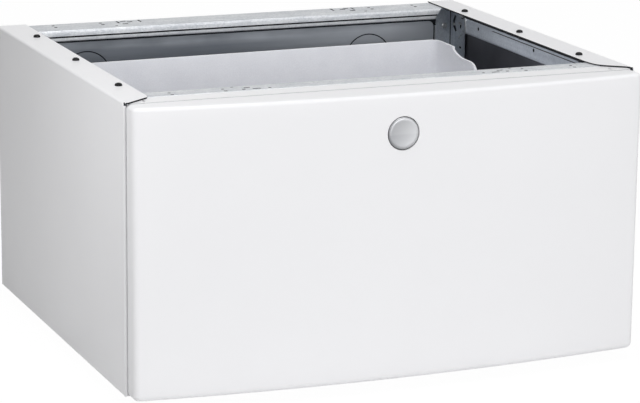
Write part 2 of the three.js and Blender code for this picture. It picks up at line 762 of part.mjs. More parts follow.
function levellingFoot(setback) {
  const upright = new THREE.Matrix4().makeRotationX(Math.PI / 2);
  upright.setPosition(footX, setback, 0);
  const neckTop = FOOT_PAD_HEIGHT + FOOT_NECK_HEIGHT;
  const studTop = BASE_TOP + FOOT_STUD_PROUD;
  const outline = [
    [0, 0],
    [FOOT_PAD_RADIUS - FOOT_PAD_BEVEL, 0],
    [FOOT_PAD_RADIUS, FOOT_PAD_BEVEL],
    [FOOT_PAD_RADIUS, FOOT_PAD_HEIGHT - FOOT_SHOULDER_DROP],
    [FOOT_PAD_RADIUS - FOOT_SHOULDER_RUN, FOOT_PAD_HEIGHT],
    [FOOT_NECK_RADIUS, FOOT_PAD_HEIGHT],
    [FOOT_NECK_RADIUS, neckTop],
    [FOOT_STUD_RADIUS, neckTop],
    [FOOT_STUD_RADIUS, studTop],
    [0, studTop],
  ];
  return turned(outline, HOLE_FACETS, upright);
}

function footNut(setback) {
  const top = BASE_TOP - SHEET - SEAM;
  const heights = [top - FOOT_NUT_THICKNESS, top];
  const bore = rod('z', [footX, setback], [0, TOP], FOOT_STUD_RADIUS + STUD_CLEARANCE);
  return rod('z', [footX, setback], heights, FOOT_NUT_RADIUS, FOOT_NUT_SIDES).subtract(bore);
}

// -------------------------------------------------------------------------- slides

const slideRun = [SLIDE_SETBACK, SLIDE_END];

// A channel on its side: a web at x, and two flanges that reach towards x + depth.
// A negative depth makes it open towards the drawer.
function slideChannel(x, depth, height, run) {
  const sheet = Math.sign(depth) * SHEET;
  const heights = [SLIDE_AXIS_HEIGHT - height / 2, SLIDE_AXIS_HEIGHT + height / 2];
  return box([x, x + depth], run, heights).subtract(
    box(
      [x + sheet, x + depth + sheet],
      [run[0] - OVERCUT, run[1] + OVERCUT],
      [heights[0] + SHEET, heights[1] - SHEET],
    ),
  );
}

function slideSupport() {
  const run = [SHEET + SEAM + SHEET + SEAM, BAND_FACE - SEAM - SHEET - SEAM];
  return slideChannel(SUPPORT_FACE, SLIDE_SUPPORT_FLANGE, SLIDE_SUPPORT_HEIGHT, run);
}

const middleSlideHeight = SLIDE_HEIGHT - 2 * (SHEET + SLIDE_MIDDLE_PLAY);
const innerSlideHeight = middleSlideHeight - 2 * (SHEET + SLIDE_INNER_PLAY);

function outerSlide() {
  return slideChannel(SLIDE_BACK, -SLIDE_OUTER_DEPTH, SLIDE_HEIGHT, slideRun);
}

function middleSlide() {
  return slideChannel(SLIDE_BACK - SLIDE_MIDDLE_STEP, -SLIDE_MIDDLE_DEPTH, middleSlideHeight, slideRun);
}

function innerSlide() {
  return slideChannel(SLIDE_BACK - SLIDE_THICKNESS, SLIDE_INNER_DEPTH, innerSlideHeight, slideRun);
}

// -------------------------------------------------------------------- drawer front

// How far the bowed face stands back from its middle, at a distance from the middle.
function bowAt(x) {
  const radius = (FRONT_HALF ** 2 + FRONT_BOW ** 2) / (2 * FRONT_BOW);
  return radius - Math.sqrt(radius ** 2 - x ** 2);
}

// One section across the drawer front, drawn in by the rounding of its ends.
function frontSection(x, inset, ease) {
  const radius = FRONT_EDGE_RADIUS - inset;
  const face = FRONT_FACE + inset + bowAt(x) + ease;
  const low = FRONT_BOTTOM + inset;
  const high = FRONT_TOP - inset;
  const back = inset > 0 ? 0 : -FRONT_GAP;
  const loop = [
    [back, low],
    [back, high],
    ...arc(face + radius, high - radius, radius, 90, 180, EDGE_STEPS),
    ...arc(face + radius, low + radius, radius, 180, 270, EDGE_STEPS),
  ];
  return loop.map(([y, z]) => [x, y, z]);
}

function frontBlock(inset) {
  const radius = FRONT_EDGE_RADIUS - inset;
  const half = FRONT_HALF - inset;
  const sections = [];
  for (let i = 0; i < EDGE_STEPS; i += 1) {
    const angle = (Math.PI / 2) * (i / EDGE_STEPS);
    sections.push([half - radius + radius * Math.cos(angle), radius * (1 - Math.sin(angle))]);
  }
  for (let i = 0; i <= BOW_STATIONS / 2; i += 1) {
    sections.push([(half - radius) * (1 - (2 * i) / BOW_STATIONS), 0]);
  }
  const leftHalf = sections.slice(0, -1).map(([x, ease]) => [-x, ease]);
  const ordered = [...leftHalf, ...sections.reverse()];
  return loft(ordered.map(([x, ease]) => frontSection(x, inset, ease)));
}

function drawerFront() {
  const hollow = frontBlock(FRONT_SHEET);
  const lipHalf = FRONT_HALF - FRONT_EDGE_RADIUS;
  const lip = box(
    [-lipHalf, lipHalf],
    [-FRONT_GAP - SHEET, -FRONT_GAP + FRONT_TOP_LIP],
    [FRONT_TOP - FRONT_SHEET, FRONT_TOP],
  );
  const hole = rod(
    'y',
    [0, BUTTON_HEIGHT],
    [FRONT_FACE - OVERCUT, FRONT_FACE + FRONT_SHEET + OVERCUT],
    BUTTON_BORE_RADIUS,
    ROUND_FACETS,
  );
  return frontBlock(0).subtract(hollow).add(lip).subtract(hole);
}

function innerPanel() {
  const half = FRONT_HALF - FRONT_SHEET - SEAM;
  const sheet = box(
    [-half, half],
    [PANEL_FRONT, -FRONT_GAP],
    [FRONT_BOTTOM + FRONT_SHEET + SEAM, FRONT_TOP - FRONT_SHEET - SEAM],
  );
  const slotHalf = LEVER_WIDTH / 2 + ARM_SLOT_SIDE_GAP;
  const slot = box(
    [-slotHalf, slotHalf],
    [PANEL_FRONT - OVERCUT, 0],
    [ARM_BOTTOM - 2 * ARM_SLOT_MARGIN, ARM_TOP + ARM_SLOT_MARGIN],
  );
  return sheet.subtract(slot);
}

function bumper(height) {
  return rod('y', [FRONT_HALF - BUMPER_INSET, height], [-FRONT_GAP + SEAM, -SEAM], BUMPER_RADIUS);
}

// --------------------------------------------------------------- drawer rails, bin

function drawerRail() {
  const front = -FRONT_GAP + SEAM;
  const run = [front, SLIDE_END - DRAWER_RAIL_REAR_INSET];
  const heights = [SLIDE_AXIS_HEIGHT - DRAWER_RAIL_BELOW, DRAWER_RAIL_TOP];
  const face = DRAWER_RAIL_FACE;
  const web = box([face - SHEET, face], run, heights);
  const shelf = box([face - DRAWER_RAIL_SHELF, face], run, [DRAWER_RAIL_TOP - SHEET, DRAWER_RAIL_TOP]);
  const tab = box([face - DRAWER_RAIL_TAB, face], [front, front + SHEET], heights);
  return web.add(shelf).add(tab);
}

// The bin's outline at a height, drawn in towards the floor by the draft.
function binRing(inset, z) {
  const depth = (BIN_TOP - z) / (BIN_TOP - BIN_FLOOR_HEIGHT);
  const half = BIN_HALF_WIDTH - inset - BIN_DRAFT * depth;
  const front = BIN_FRONT + inset + BIN_DRAFT * depth;
  const rear = BIN_REAR - inset - BIN_DRAFT * depth;
  const ring = roundedRectangle([-half, half], [front, rear], BIN_CORNER_RADIUS - inset);
  return ring.map(([x, y]) => [x, y, z]);
}

// What stands above the bin's rim: the rear is tall, and the sides step down twice
// towards the front.
function aboveRim() {
  const shoulder = BIN_REAR_SHOULDER;
  const shelf = BIN_TOP - BIN_SHOULDER_DROP;
  const stepEnd = BIN_STEP_START - BIN_STEP_RUN;
  const step = new THREE.CubicBezierCurve(
    new THREE.Vector2(stepEnd, BIN_LOW_WALL_RIM),
    new THREE.Vector2(stepEnd + BIN_STEP_RUN / 4, BIN_LOW_WALL_RIM),
    new THREE.Vector2(stepEnd + BIN_STEP_RUN / 3, shelf),
    new THREE.Vector2(BIN_STEP_START, shelf),
  );
  return [
    [BIN_FRONT - BIN_DRAFT, BIN_LOW_WALL_RIM],
    ...step.getPoints(2 * EDGE_STEPS).map((point) => [point.x, point.y]),
    ...bend([shoulder - BIN_SHOULDER_RUN, shelf], [shoulder, BIN_TOP], EDGE_STEPS),
    [shoulder, BIN_TOP + BIN_DRAFT],
    [BIN_FRONT - BIN_DRAFT, BIN_TOP + BIN_DRAFT],
  ];
}

function bin() {
  const outer = loft([binRing(0, BIN_FLOOR_HEIGHT), binRing(0, BIN_TOP)]);
  const inner = loft([
    binRing(BIN_WALL, BIN_FLOOR_HEIGHT + BIN_WALL),
    binRing(BIN_WALL, BIN_TOP + OVERCUT),
  ]);
  const depthAtLedge = (BIN_TOP - LEDGE_HEIGHT) / (BIN_TOP - BIN_FLOOR_HEIGHT);
  const wallAtLedge = BIN_HALF_WIDTH - BIN_DRAFT * depthAtLedge;
  const ledgeRun = [LEDGE_FRONT, BIN_REAR - BIN_DRAFT - LEDGE_REAR_INSET];
  const ledgeReach = DRAWER_RAIL_FACE - SHEET - SEAM;
  const ledges = box(
    [-ledgeReach, ledgeReach],
    ledgeRun,
    [LEDGE_HEIGHT, BIN_LOW_WALL_RIM],
  ).subtract(
    box(
      [-wallAtLedge + BIN_WALL / 2, wallAtLedge - BIN_WALL / 2],
      [0, CABINET_DEPTH],
      [LEDGE_HEIGHT - OVERCUT, BIN_LOW_WALL_RIM + OVERCUT],
    ),
  );
  const cut = prism(aboveRim(), 'x', -HALF, HALF);
  return outer.subtract(inner).subtract(cut).add(ledges);
}

// --------------------------------------------------------------------------- latch

// Axis of the button, with the outline's distances measured back from the face.
function alongButton() {
  const place = new THREE.Matrix4();
  place.set(1, 0, 0, 0, 0, 1, 0, PEDESTAL_FRONT, 0, 0, 1, BUTTON_HEIGHT, 0, 0, 0, 1);
  return place;
}

function button() {
  const dishRadius = BUTTON_RADIUS - BUTTON_RIM_RADIUS;
  const dish = Array.from({ length: DISH_STEPS }, (_, i) => {
    const share = i / DISH_STEPS;
    return [share * dishRadius, BUTTON_DISH * (1 - share ** 2)];
  });
  const rim = arc(dishRadius, BUTTON_RIM_RADIUS, BUTTON_RIM_RADIUS, 270, 360, EDGE_STEPS);
  const cupFloor = BUTTON_DISH + BUTTON_WALL;
  const stemEnd = LEVER_FRONT - STEM_GAP - PEDESTAL_FRONT;
  const outline = [
    ...dish,
    ...rim,
    [BUTTON_RADIUS, BUTTON_SKIRT],
    [BUTTON_RADIUS - BUTTON_WALL, BUTTON_SKIRT],
    [BUTTON_RADIUS - BUTTON_WALL, cupFloor],
    [STEM_RADIUS, cupFloor],
    [STEM_RADIUS, stemEnd],
    [0, stemEnd],
  ];
  return turned(outline, ROUND_FACETS, alongButton());
}

function latchHousing() {
  const front = FRONT_FACE + FRONT_SHEET + HOUSING_FRONT_GAP;
  const rear = PANEL_FRONT - SEAM;
  const heights = [BUTTON_HEIGHT - HOUSING_HALF_WIDTH, BUTTON_HEIGHT + HOUSING_HALF_WIDTH];
  const shell = box([-HOUSING_HALF_WIDTH, HOUSING_HALF_WIDTH], [front, rear], heights);
  const insideHalf = HOUSING_HALF_WIDTH - HOUSING_WALL;
  const inside = box(
    [-insideHalf, insideHalf],
    [front + HOUSING_WALL, rear + OVERCUT],
    [heights[0] + HOUSING_WALL, heights[1] - HOUSING_WALL],
  );
  const bore = rod(
    'y',
    [0, BUTTON_HEIGHT],
    [front - OVERCUT, front + HOUSING_WALL + OVERCUT],
    BUTTON_BORE_RADIUS,
    ROUND_FACETS,
  );
  return shell.subtract(inside).subtract(bore);
}

function latchLever() {
  const back = LEVER_FRONT + LEVER_THICKNESS;
  const hookEnd = HOOK_FRONT + HOOK_LENGTH;
  const hookTop = STRIKER_BOTTOM - HOOK_CLEARANCE;
  const outline = [
    [LEVER_FRONT, PIVOT_HEIGHT],
    [back, PIVOT_HEIGHT],
    [back, ARM_BOTTOM],
    [hookEnd, ARM_BOTTOM],
    [hookEnd, hookTop],
    [HOOK_FRONT, hookTop],
    [HOOK_FRONT, ARM_TOP],
    [LEVER_FRONT, ARM_TOP],
  ];
  const arm = prism(outline, 'x', -LEVER_WIDTH / 2, LEVER_WIDTH / 2);
  const eye = rod('x', [LEVER_PIVOT_Y, PIVOT_HEIGHT], [-LEVER_WIDTH / 2, LEVER_WIDTH / 2], LEVER_EYE_RADIUS);
  const bore = rod(
    'x',
    [LEVER_PIVOT_Y, PIVOT_HEIGHT],
    [-LEVER_WIDTH, LEVER_WIDTH],
    PIVOT_PIN_RADIUS + PIVOT_CLEARANCE,
  );
  return arm.add(eye).subtract(bore);
}

function pivotPin() {
  const half = HOUSING_HALF_WIDTH - HOUSING_WALL - SEAM;
  return rod('x', [LEVER_PIVOT_Y, PIVOT_HEIGHT], [-half, half], PIVOT_PIN_RADIUS);
}

function striker() {
  const half = STRIKER_WIDTH / 2;
  const top = RAIL_BOTTOM_FACE - SEAM;
  const plate = box([-half, half], [STRIKER_SETBACK, STRIKER_SETBACK + SHEET], [STRIKER_BOTTOM, top]);
  const tab = box([-half, half], [STRIKER_SETBACK, STRIKER_SETBACK + half], [top - SHEET, top]);
  return plate.add(tab);
}

// ------------------------------------------------------------------------ assembly

addPair('side_panel', sidePanel(), whitePaint);
addPiece('rear_panel', rearPanel(), darkSteel);
addPiece('front_trim', frontTrim(), whitePaint);
addPiece('front_rail', frontRail(), galvanisedSteel);
addPiece('rear_rail', rearRail(), galvanisedSteel);
addPair('side_rail', sideRail(), galvanisedSteel);
fixingHoleSetbacks.forEach((setback, i) => {
  addPair(`captive_nut_${i + 1}`, captiveNut(setback), zincSteel);
});

addPair('rear_post', rearPost(), galvanisedSteel);
addPair('front_post', frontPost(), galvanisedSteel);
addPair('rear_screw', rearScrew(), zincSteel);

addPair('base_side_rail', baseSideRail(), galvanisedSteel);
addPiece(
  'base_front_rail',
  baseChannel([-RAIL_HALF, RAIL_HALF], [baseFront, baseFront + BASE_CROSS_RAIL_WIDTH], 'x'),
  galvanisedSteel,
);
addPiece(
  'base_rear_rail',
  baseChannel([-RAIL_HALF, RAIL_HALF], [baseRear - BASE_CROSS_RAIL_WIDTH, baseRear], 'x'),
  galvanisedSteel,
);
for (const [row, setback] of Object.entries(footRows)) {
  addPair(`${row}_foot`, levellingFoot(setback), blackRubber);
  addPair(`${row}_foot_nut`, footNut(setback), zincSteel);
}

addPair('slide_support', slideSupport(), galvanisedSteel);
addPair('outer_slide', outerSlide(), zincSteel);
addPair('middle_slide', middleSlide(), zincSteel);
addPair('inner_slide', innerSlide(), zincSteel);

addPiece('drawer_front', drawerFront(), whitePaint);
addPiece('inner_panel', innerPanel(), whitePaint);
addPair('lower_bumper', bumper(FRONT_BOTTOM + BUMPER_LOW_LIFT), blackRubber);
addPair('upper_bumper', bumper(FRONT_TOP - BUMPER_HIGH_DROP), blackRubber);
addPair('drawer_rail', drawerRail(), galvanisedSteel);
addPiece('bin', bin(), greyPlastic);

addPiece('latch_button', button(), satinMetal);
addPiece('latch_housing', latchHousing(), darkPlastic);
addPiece('latch_lever', latchLever(), zincSteel);
addPiece('lever_pin', pivotPin(), zincSteel);
addPiece('striker', striker(), zincSteel);

pedestal.position.y = -(PEDESTAL_FRONT + CABINET_DEPTH) / 2;

export default pedestal;
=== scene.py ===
"""A laundry pedestal: a white sheet-steel cabinet with a bowed drawer and a plastic bin.

Lengths in the classes are millimetres from two datums: y = 0 is the front edge of the
side panels and z = 0 is the floor, with x = 0 on the middle line. A shape becomes a
piece in metres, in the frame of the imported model, when it is placed.
"""

from __future__ import annotations

import logging
import math
from dataclasses import dataclass
from enum import Enum
from typing import Callable, ClassVar, Iterable, Mapping, Sequence

import bmesh
import bpy
from mathutils import Matrix, Vector


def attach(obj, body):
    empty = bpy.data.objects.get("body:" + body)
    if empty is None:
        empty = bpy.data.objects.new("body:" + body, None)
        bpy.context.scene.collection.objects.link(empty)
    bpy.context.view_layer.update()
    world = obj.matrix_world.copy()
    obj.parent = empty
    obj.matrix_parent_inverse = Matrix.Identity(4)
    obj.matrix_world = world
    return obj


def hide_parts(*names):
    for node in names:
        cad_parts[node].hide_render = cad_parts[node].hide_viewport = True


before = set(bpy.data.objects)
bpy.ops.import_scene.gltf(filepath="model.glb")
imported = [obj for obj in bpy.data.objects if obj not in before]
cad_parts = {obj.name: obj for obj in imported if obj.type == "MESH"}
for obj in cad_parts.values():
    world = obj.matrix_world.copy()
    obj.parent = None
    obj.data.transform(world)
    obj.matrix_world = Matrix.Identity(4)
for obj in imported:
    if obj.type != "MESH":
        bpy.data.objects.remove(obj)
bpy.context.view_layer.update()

log = logging.getLogger("pedestal")

Point2 = tuple[float, float]
Point3 = tuple[float, float, float]
Colour = tuple[float, float, float]
Slot = tuple[float, float, float, float]

METRES = 0.001
FRONT_DATUM = -0.25275
WELD = 1e-3
SIDES = (("right", 1), ("left", -1))
HOLE_X = 315.5
HOLE_ROWS = (103.0, 279.5, 456.0)


class Axis(Enum):
    """The direction that a section is pushed along, or that a shape turns about."""

    X = "x"
    Y = "y"
    Z = "z"

    def place(self, u: float, v: float, along: float) -> Point3:
        """The point at (u, v) in the section's plane and at a distance along the axis.

        Args:
            u: First value in the plane.
            v: Second value in the plane.
            along: Distance along the axis.

        Returns:
            The point.
        """
        if self is Axis.X:
            return (along, u, v)
        if self is Axis.Y:
            return (u, along, v)
        return (u, v, along)


# ---------------------------------------------------------------------- outlines


def arc(centre: Point2, radius: float, start: float, end: float, steps: int) -> list[Point2]:
    """Points along an arc.

    Args:
        centre: Middle of the arc.
        radius: Radius of the arc.
        start: First angle, in degrees.
        end: Last angle, in degrees.
        steps: Number of equal steps between them.

    Returns:
        The points, both ends included.
    """
    angles = [math.radians(start + (end - start) * i / steps) for i in range(steps + 1)]
    return [(centre[0] + radius * math.cos(a), centre[1] + radius * math.sin(a)) for a in angles]


def circle(centre: Point2, radius: float, count: int = 28) -> list[Point2]:
    """A closed circle as points, with no point twice."""
    return arc(centre, radius, 0, 360 - 360 / count, count - 1)


def rectangle(us: Point2, vs: Point2) -> list[Point2]:
    """A rectangle between two values on each axis."""
    return [(us[0], vs[0]), (us[1], vs[0]), (us[1], vs[1]), (us[0], vs[1])]


def rounded(us: Point2, vs: Point2, radius: float, steps: int = 6) -> list[Point2]:
    """A rectangle with round corners.

    Args:
        us: Lowest and highest value across.
        vs: Lowest and highest value up.
        radius: Corner radius.
        steps: Steps in each corner.

    Returns:
        The points, anticlockwise from the lower right corner.
    """
    r = radius
    return [
        *arc((us[1] - r, vs[0] + r), r, 270, 360, steps),
        *arc((us[1] - r, vs[1] - r), r, 0, 90, steps),
        *arc((us[0] + r, vs[1] - r), r, 90, 180, steps),
        *arc((us[0] + r, vs[0] + r), r, 180, 270, steps),
    ]


def slit(centre: Point2, length: float, width: float, angle: float = 0.0) -> list[Point2]:
    """A slit with round ends.

    Args:
        centre: Middle of the slit.
        length: Length over the round ends.
        width: Width.
        angle: Turn of its long side from the second axis, in degrees.

    Returns:
        The points round the slit.
    """
    r = width / 2
    run = length / 2 - r
    loop = [*arc((0, run), r, 0, 180, 5), *arc((0, -run), r, 180, 360, 5)]
    c, s = math.cos(math.radians(angle)), math.sin(math.radians(angle))
    return [(centre[0] + u * c - v * s, centre[1] + u * s + v * c) for u, v in loop]


def bezier(points: Sequence[Point2], steps: int) -> list[Point2]:
    """Points along a Bezier curve of any order.

    Args:
        points: Control points, the ends included.
        steps: Number of steps.

    Returns:
        The points, both ends included.
    """
    made = []
    for i in range(steps + 1):
        t = i / steps
        row = list(points)
        while len(row) > 1:
            row = [
                (a[0] + (b[0] - a[0]) * t, a[1] + (b[1] - a[1]) * t)
                for a, b in zip(row, row[1:])
            ]
        made.append(row[0])
    return made


def smoothstep(t: float) -> float:
    """An S from 0 to 1, flat at both ends."""
    t = min(1.0, max(0.0, t))
    return t * t * (3 - 2 * t)


# ---------------------------------------------------------------------- sections


@dataclass(frozen=True)
class Leg:
    """A straight run of a bent sheet's section, and the bend that follows it."""

    run: float
    turn: float = 0.0
    radius: float = 2.4

    @property
    def bend(self) -> float:
        """Length of the bend along the middle of the sheet."""
        return abs(math.radians(self.turn)) * self.radius


@dataclass(frozen=True)
class Section:
    """The line that the middle of a bent sheet follows."""

    start: Point2
    heading: float
    legs: tuple[Leg, ...]
    facet: float = 11.25

    def cuts(self) -> list[float]:
        """The places at which the flat sheet needs points to bend.

        Returns:
            Their distances along the line.
        """
        marks, s = [], 0.0
        for leg in self.legs:
            s += leg.run
            if leg.turn:
                steps = max(2, round(abs(leg.turn) / self.facet))
                marks += [s + leg.bend * i / steps for i in range(steps + 1)]
                s += leg.bend
        return marks

    def ends(self) -> list[float]:
        """Where each run and each bend ends.

        Returns:
            Their distances along the line, a run's before its bend's.
        """
        marks, s = [], 0.0
        for leg in self.legs:
            marks += [s + leg.run, s + leg.run + leg.bend]
            s += leg.run + leg.bend
        return marks

    def at(self, s: float) -> tuple[Point2, Point2]:
        """The place on the line at a distance along it.

        Args:
            s: Distance along the line.

        Returns:
            The point, and the unit normal to its left.
        """
        u, v = self.start
        heading = math.radians(self.heading)
        last = self.legs[-1]
        for leg in self.legs:
            du, dv = math.cos(heading), math.sin(heading)
            if s <= leg.run + 1e-7 or (leg is last and not leg.turn):
                return (u + du * s, v + dv * s), (-dv, du)
            u, v, s = u + du * leg.run, v + dv * leg.run, s - leg.run
            if leg.turn:
                hand = math.copysign(1.0, leg.turn)
                centre = (u - dv * leg.radius * hand, v + du * leg.radius * hand)
                angle = min(s, leg.bend) / leg.radius
                turned = heading + hand * angle
                point = (
                    centre[0] + math.sin(turned) * leg.radius * hand,
                    centre[1] - math.cos(turned) * leg.radius * hand,
                )
                if s <= leg.bend + 1e-7:
                    return point, (-math.sin(turned), math.cos(turned))
                (u, v), heading, s = point, turned, s - leg.bend
        return (u, v), (-math.sin(heading), math.cos(heading))


# ------------------------------------------------------------------------ shapes


class Shape:
    """A mesh in the making, in millimetres."""

    def __init__(self) -> None:
        """Starts with nothing."""
        self.mesh = bmesh.new()

    def loft(
        self, rings: Sequence[Sequence[Point3]], closed: bool = True, caps: bool = True
    ) -> Shape:
        """Adds a skin through rings of equal length.

        Args:
            rings: The rings, in order.
            closed: Whether each ring closes on itself.
            caps: Whether the first and the last ring are filled.

        Returns:
            This shape.
        """
        rows = [[self.mesh.verts.new(point) for point in ring] for ring in rings]
        count = len(rows[0])
        for low, high in zip(rows, rows[1:]):
            for i in range(count if closed else count - 1):
                j = (i + 1) % count
                self.mesh.faces.new((low[i], low[j], high[j], high[i]))
        if caps:
            self.mesh.faces.new(rows[0][::-1])
            self.mesh.faces.new(rows[-1])
        return self

    def turn(
        self, outline: Sequence[Point2], centre: Point2, axis: Axis, segments: int = 48
    ) -> Shape:
        """Adds a turned solid.

        Args:
            outline: (radius, distance along the axis), from axis to axis.
            centre: Where the axis meets the other two directions, in their order.
            axis: The axis.
            segments: Segments round it.

        Returns:
            This shape.
        """
        rings = []
        for radius, along in outline:
            loop = circle(centre, max(radius, 1e-4), segments)
            rings.append([axis.place(u, v, along) for u, v in loop])
        self.loft(rings)
        bmesh.ops.remove_doubles(self.mesh, verts=self.mesh.verts[:], dist=5e-4)
        return self.outward()

    def prism(self, outline: Sequence[Point2], axis: Axis, ends: Point2) -> Shape:
        """Adds an outline pushed along an axis from one value to another."""
        self.loft([[axis.place(u, v, end) for u, v in outline] for end in ends])
        return self.outward()

    def block(self, xs: Point2, ys: Point2, zs: Point2, edge: float = 0.3) -> Shape:
        """Adds a box whose edges are rounded.

        Args:
            xs: Lowest and highest x.
            ys: Lowest and highest y.
            zs: Lowest and highest z.
            edge: Width of the rounding, or 0.

        Returns:
            This shape.
        """
        part = Shape().prism(rectangle(xs, ys), Axis.Z, zs)
        if edge:
            bmesh.ops.bevel(
                part.mesh,
                geom=part.mesh.edges[:],
                offset=edge,
                segments=2,
                profile=0.5,
                affect="EDGES",
            )
        return self.add(part)

    def sheet(
        self,
        section: Section,
        outline: Sequence[Point2],
        along: Axis,
        holes: Iterable[Sequence[Point2]] = (),
        thickness: float = 1.2,
        scores: Sequence[float] = (),
    ) -> Shape:
        """Adds a sheet that is cut flat and then bent.

        Args:
            section: The line that the sheet follows.
            outline: The flat sheet, as (distance along the line, place on the axis).
            along: The axis that the bends run along.
            holes: Holes in the flat sheet, in the same terms.
            thickness: Thickness of the sheet.
            scores: Distances along the line at which a finish may start or end.

        Returns:
            This shape.
        """
        flat = bmesh.new()
        for loop in (outline, *holes):
            corners = [flat.verts.new((s, t, 0)) for s, t in loop]
            for a, b in zip(corners, corners[1:] + corners[:1]):
                flat.edges.new((a, b))
        bmesh.ops.triangle_fill(flat, use_beauty=True, edges=flat.edges[:], normal=(0, 0, 1))
        for s in (*section.cuts(), *scores):
            everything = flat.verts[:] + flat.edges[:] + flat.faces[:]
            bmesh.ops.bisect_plane(
                flat, geom=everything, dist=1e-5, plane_co=(s, 0, 0), plane_no=(1, 0, 0)
            )
        part = Shape()
        upper, lower = {}, {}
        for corner in flat.verts:
            (u, v), (nu, nv) = section.at(corner.co.x)
            for side, out in ((upper, thickness / 2), (lower, -thickness / 2)):
                point = along.place(u + nu * out, v + nv * out, corner.co.y)
                side[corner] = part.mesh.verts.new(point)
        for face in flat.faces:
            part.mesh.faces.new([upper[corner] for corner in face.verts])
            part.mesh.faces.new([lower[corner] for corner in reversed(face.verts)])
        for edge in flat.edges:
            if len(edge.link_faces) == 1:
                a, b = edge.verts
                part.mesh.faces.new((upper[a], upper[b], lower[b], lower[a]))
        flat.free()
        return self.add(part.outward())

    def add(self, other: Shape) -> Shape:
        """Takes in another shape.

        Args:
            other: The shape to take in, which is used up.

        Returns:
            This shape.
        """
        store = bpy.data.meshes.new("shape")
        other.mesh.to_mesh(store)
        other.mesh.free()
        self.mesh.from_mesh(store)
        bpy.data.meshes.remove(store)
        return self

    def outward(self) -> Shape:
        """Turns every face to point out."""
        bmesh.ops.recalc_face_normals(self.mesh, faces=self.mesh.faces[:])
        return self

    def mirrored(self) -> Shape:
        """A mirror image about the middle line.

        Returns:
            The image, apart from this shape.
        """
        image = Shape()
        image.mesh = self.mesh.copy()
        for corner in image.mesh.verts:
            corner.co.x *= -1
        bmesh.ops.reverse_faces(image.mesh, faces=image.mesh.faces[:])
        return image

    def sided(self, sign: int) -> Shape:
        """This shape of the right side, or its mirror image if the sign is negative."""
        return self.mirrored() if sign < 0 else self

    def moved(self, move: Callable[[Vector], Point3]) -> Shape:
        """Puts every point where a function says.

        Args:
            move: Gives a point's new place.

        Returns:
            This shape.
        """
        for corner in self.mesh.verts:
            corner.co = Vector(move(corner.co))
        return self

    def paint(self, index: int, chosen: Callable[[Vector, Vector], bool]) -> Shape:
        """Gives faces another of the piece's finishes.

        Args:
            index: Number of the finish.
            chosen: Says of a face's middle and normal whether it takes it.

        Returns:
            This shape.
        """
        self.mesh.normal_update()
        for face in self.mesh.faces:
            if chosen(face.calc_center_median(), face.normal):
                face.material_index = index
        return self

    def coat(self, index: int) -> Shape:
        """Gives every face another of the piece's finishes."""
        return self.paint(index, lambda middle, normal: True)

    def cut(self, tool: Shape) -> Shape:
        """Takes another shape out of this one.

        Args:
            tool: The shape to take out, which is used up.

        Returns:
            This shape.
        """
        made = []
        for shape in (self, tool):
            store = bpy.data.meshes.new("cut")
            shape.mesh.to_mesh(store)
            shape.mesh.free()
            made.append(bpy.data.objects.new("cut", store))
            bpy.context.scene.collection.objects.link(made[-1])
        body, cutter = made
        change = body.modifiers.new("cut", "BOOLEAN")
        change.operation = "DIFFERENCE"
        change.solver = "EXACT"
        change.object = cutter
        graph = bpy.context.evaluated_depsgraph_get()
        graph.update()
        result = bpy.data.meshes.new_from_object(body.evaluated_get(graph))
        self.mesh = bmesh.new()
        self.mesh.from_mesh(result)
        bpy.data.meshes.remove(result)
        for item in made:
            store = item.data
            bpy.data.objects.remove(item)
            bpy.data.meshes.remove(store)
        return self


# --------------------------------------------------------------- shader material


class Wire:
    """A value that runs through a material, with the operators of ordinary sums."""

    def __init__(self, recipe: Recipe, socket: bpy.types.NodeSocket) -> None:
        """Holds a socket of a recipe."""
        self.recipe = recipe
        self.socket = socket

    def maths(self, operation: str, first: Wire | float, second: Wire | float) -> Wire:
        """Adds a Math node.

        Args:
            operation: Its operation.
            first: First value.
            second: Second value.

        Returns:
            Its result.
        """
        return self.recipe.node(
            "ShaderNodeMath", {"operation": operation}, {0: first, 1: second}
        )

    def __add__(self, other: Wire | float) -> Wire:
        """This value plus another."""
        return self.maths("ADD", self, other)

    def __radd__(self, other: float) -> Wire:
        """A number plus this value."""
        return self.maths("ADD", other, self)

    def __sub__(self, other: Wire | float) -> Wire:
        """This value less another."""
        return self.maths("SUBTRACT", self, other)

    def __rsub__(self, other: float) -> Wire:
        """A number less this value."""
        return self.maths("SUBTRACT", other, self)

    def __mul__(self, other: Wire | float) -> Wire:
        """This value times another."""
        return self.maths("MULTIPLY", self, other)

    def __rmul__(self, other: float) -> Wire:
        """A number times this value."""
        return self.maths("MULTIPLY", other, self)


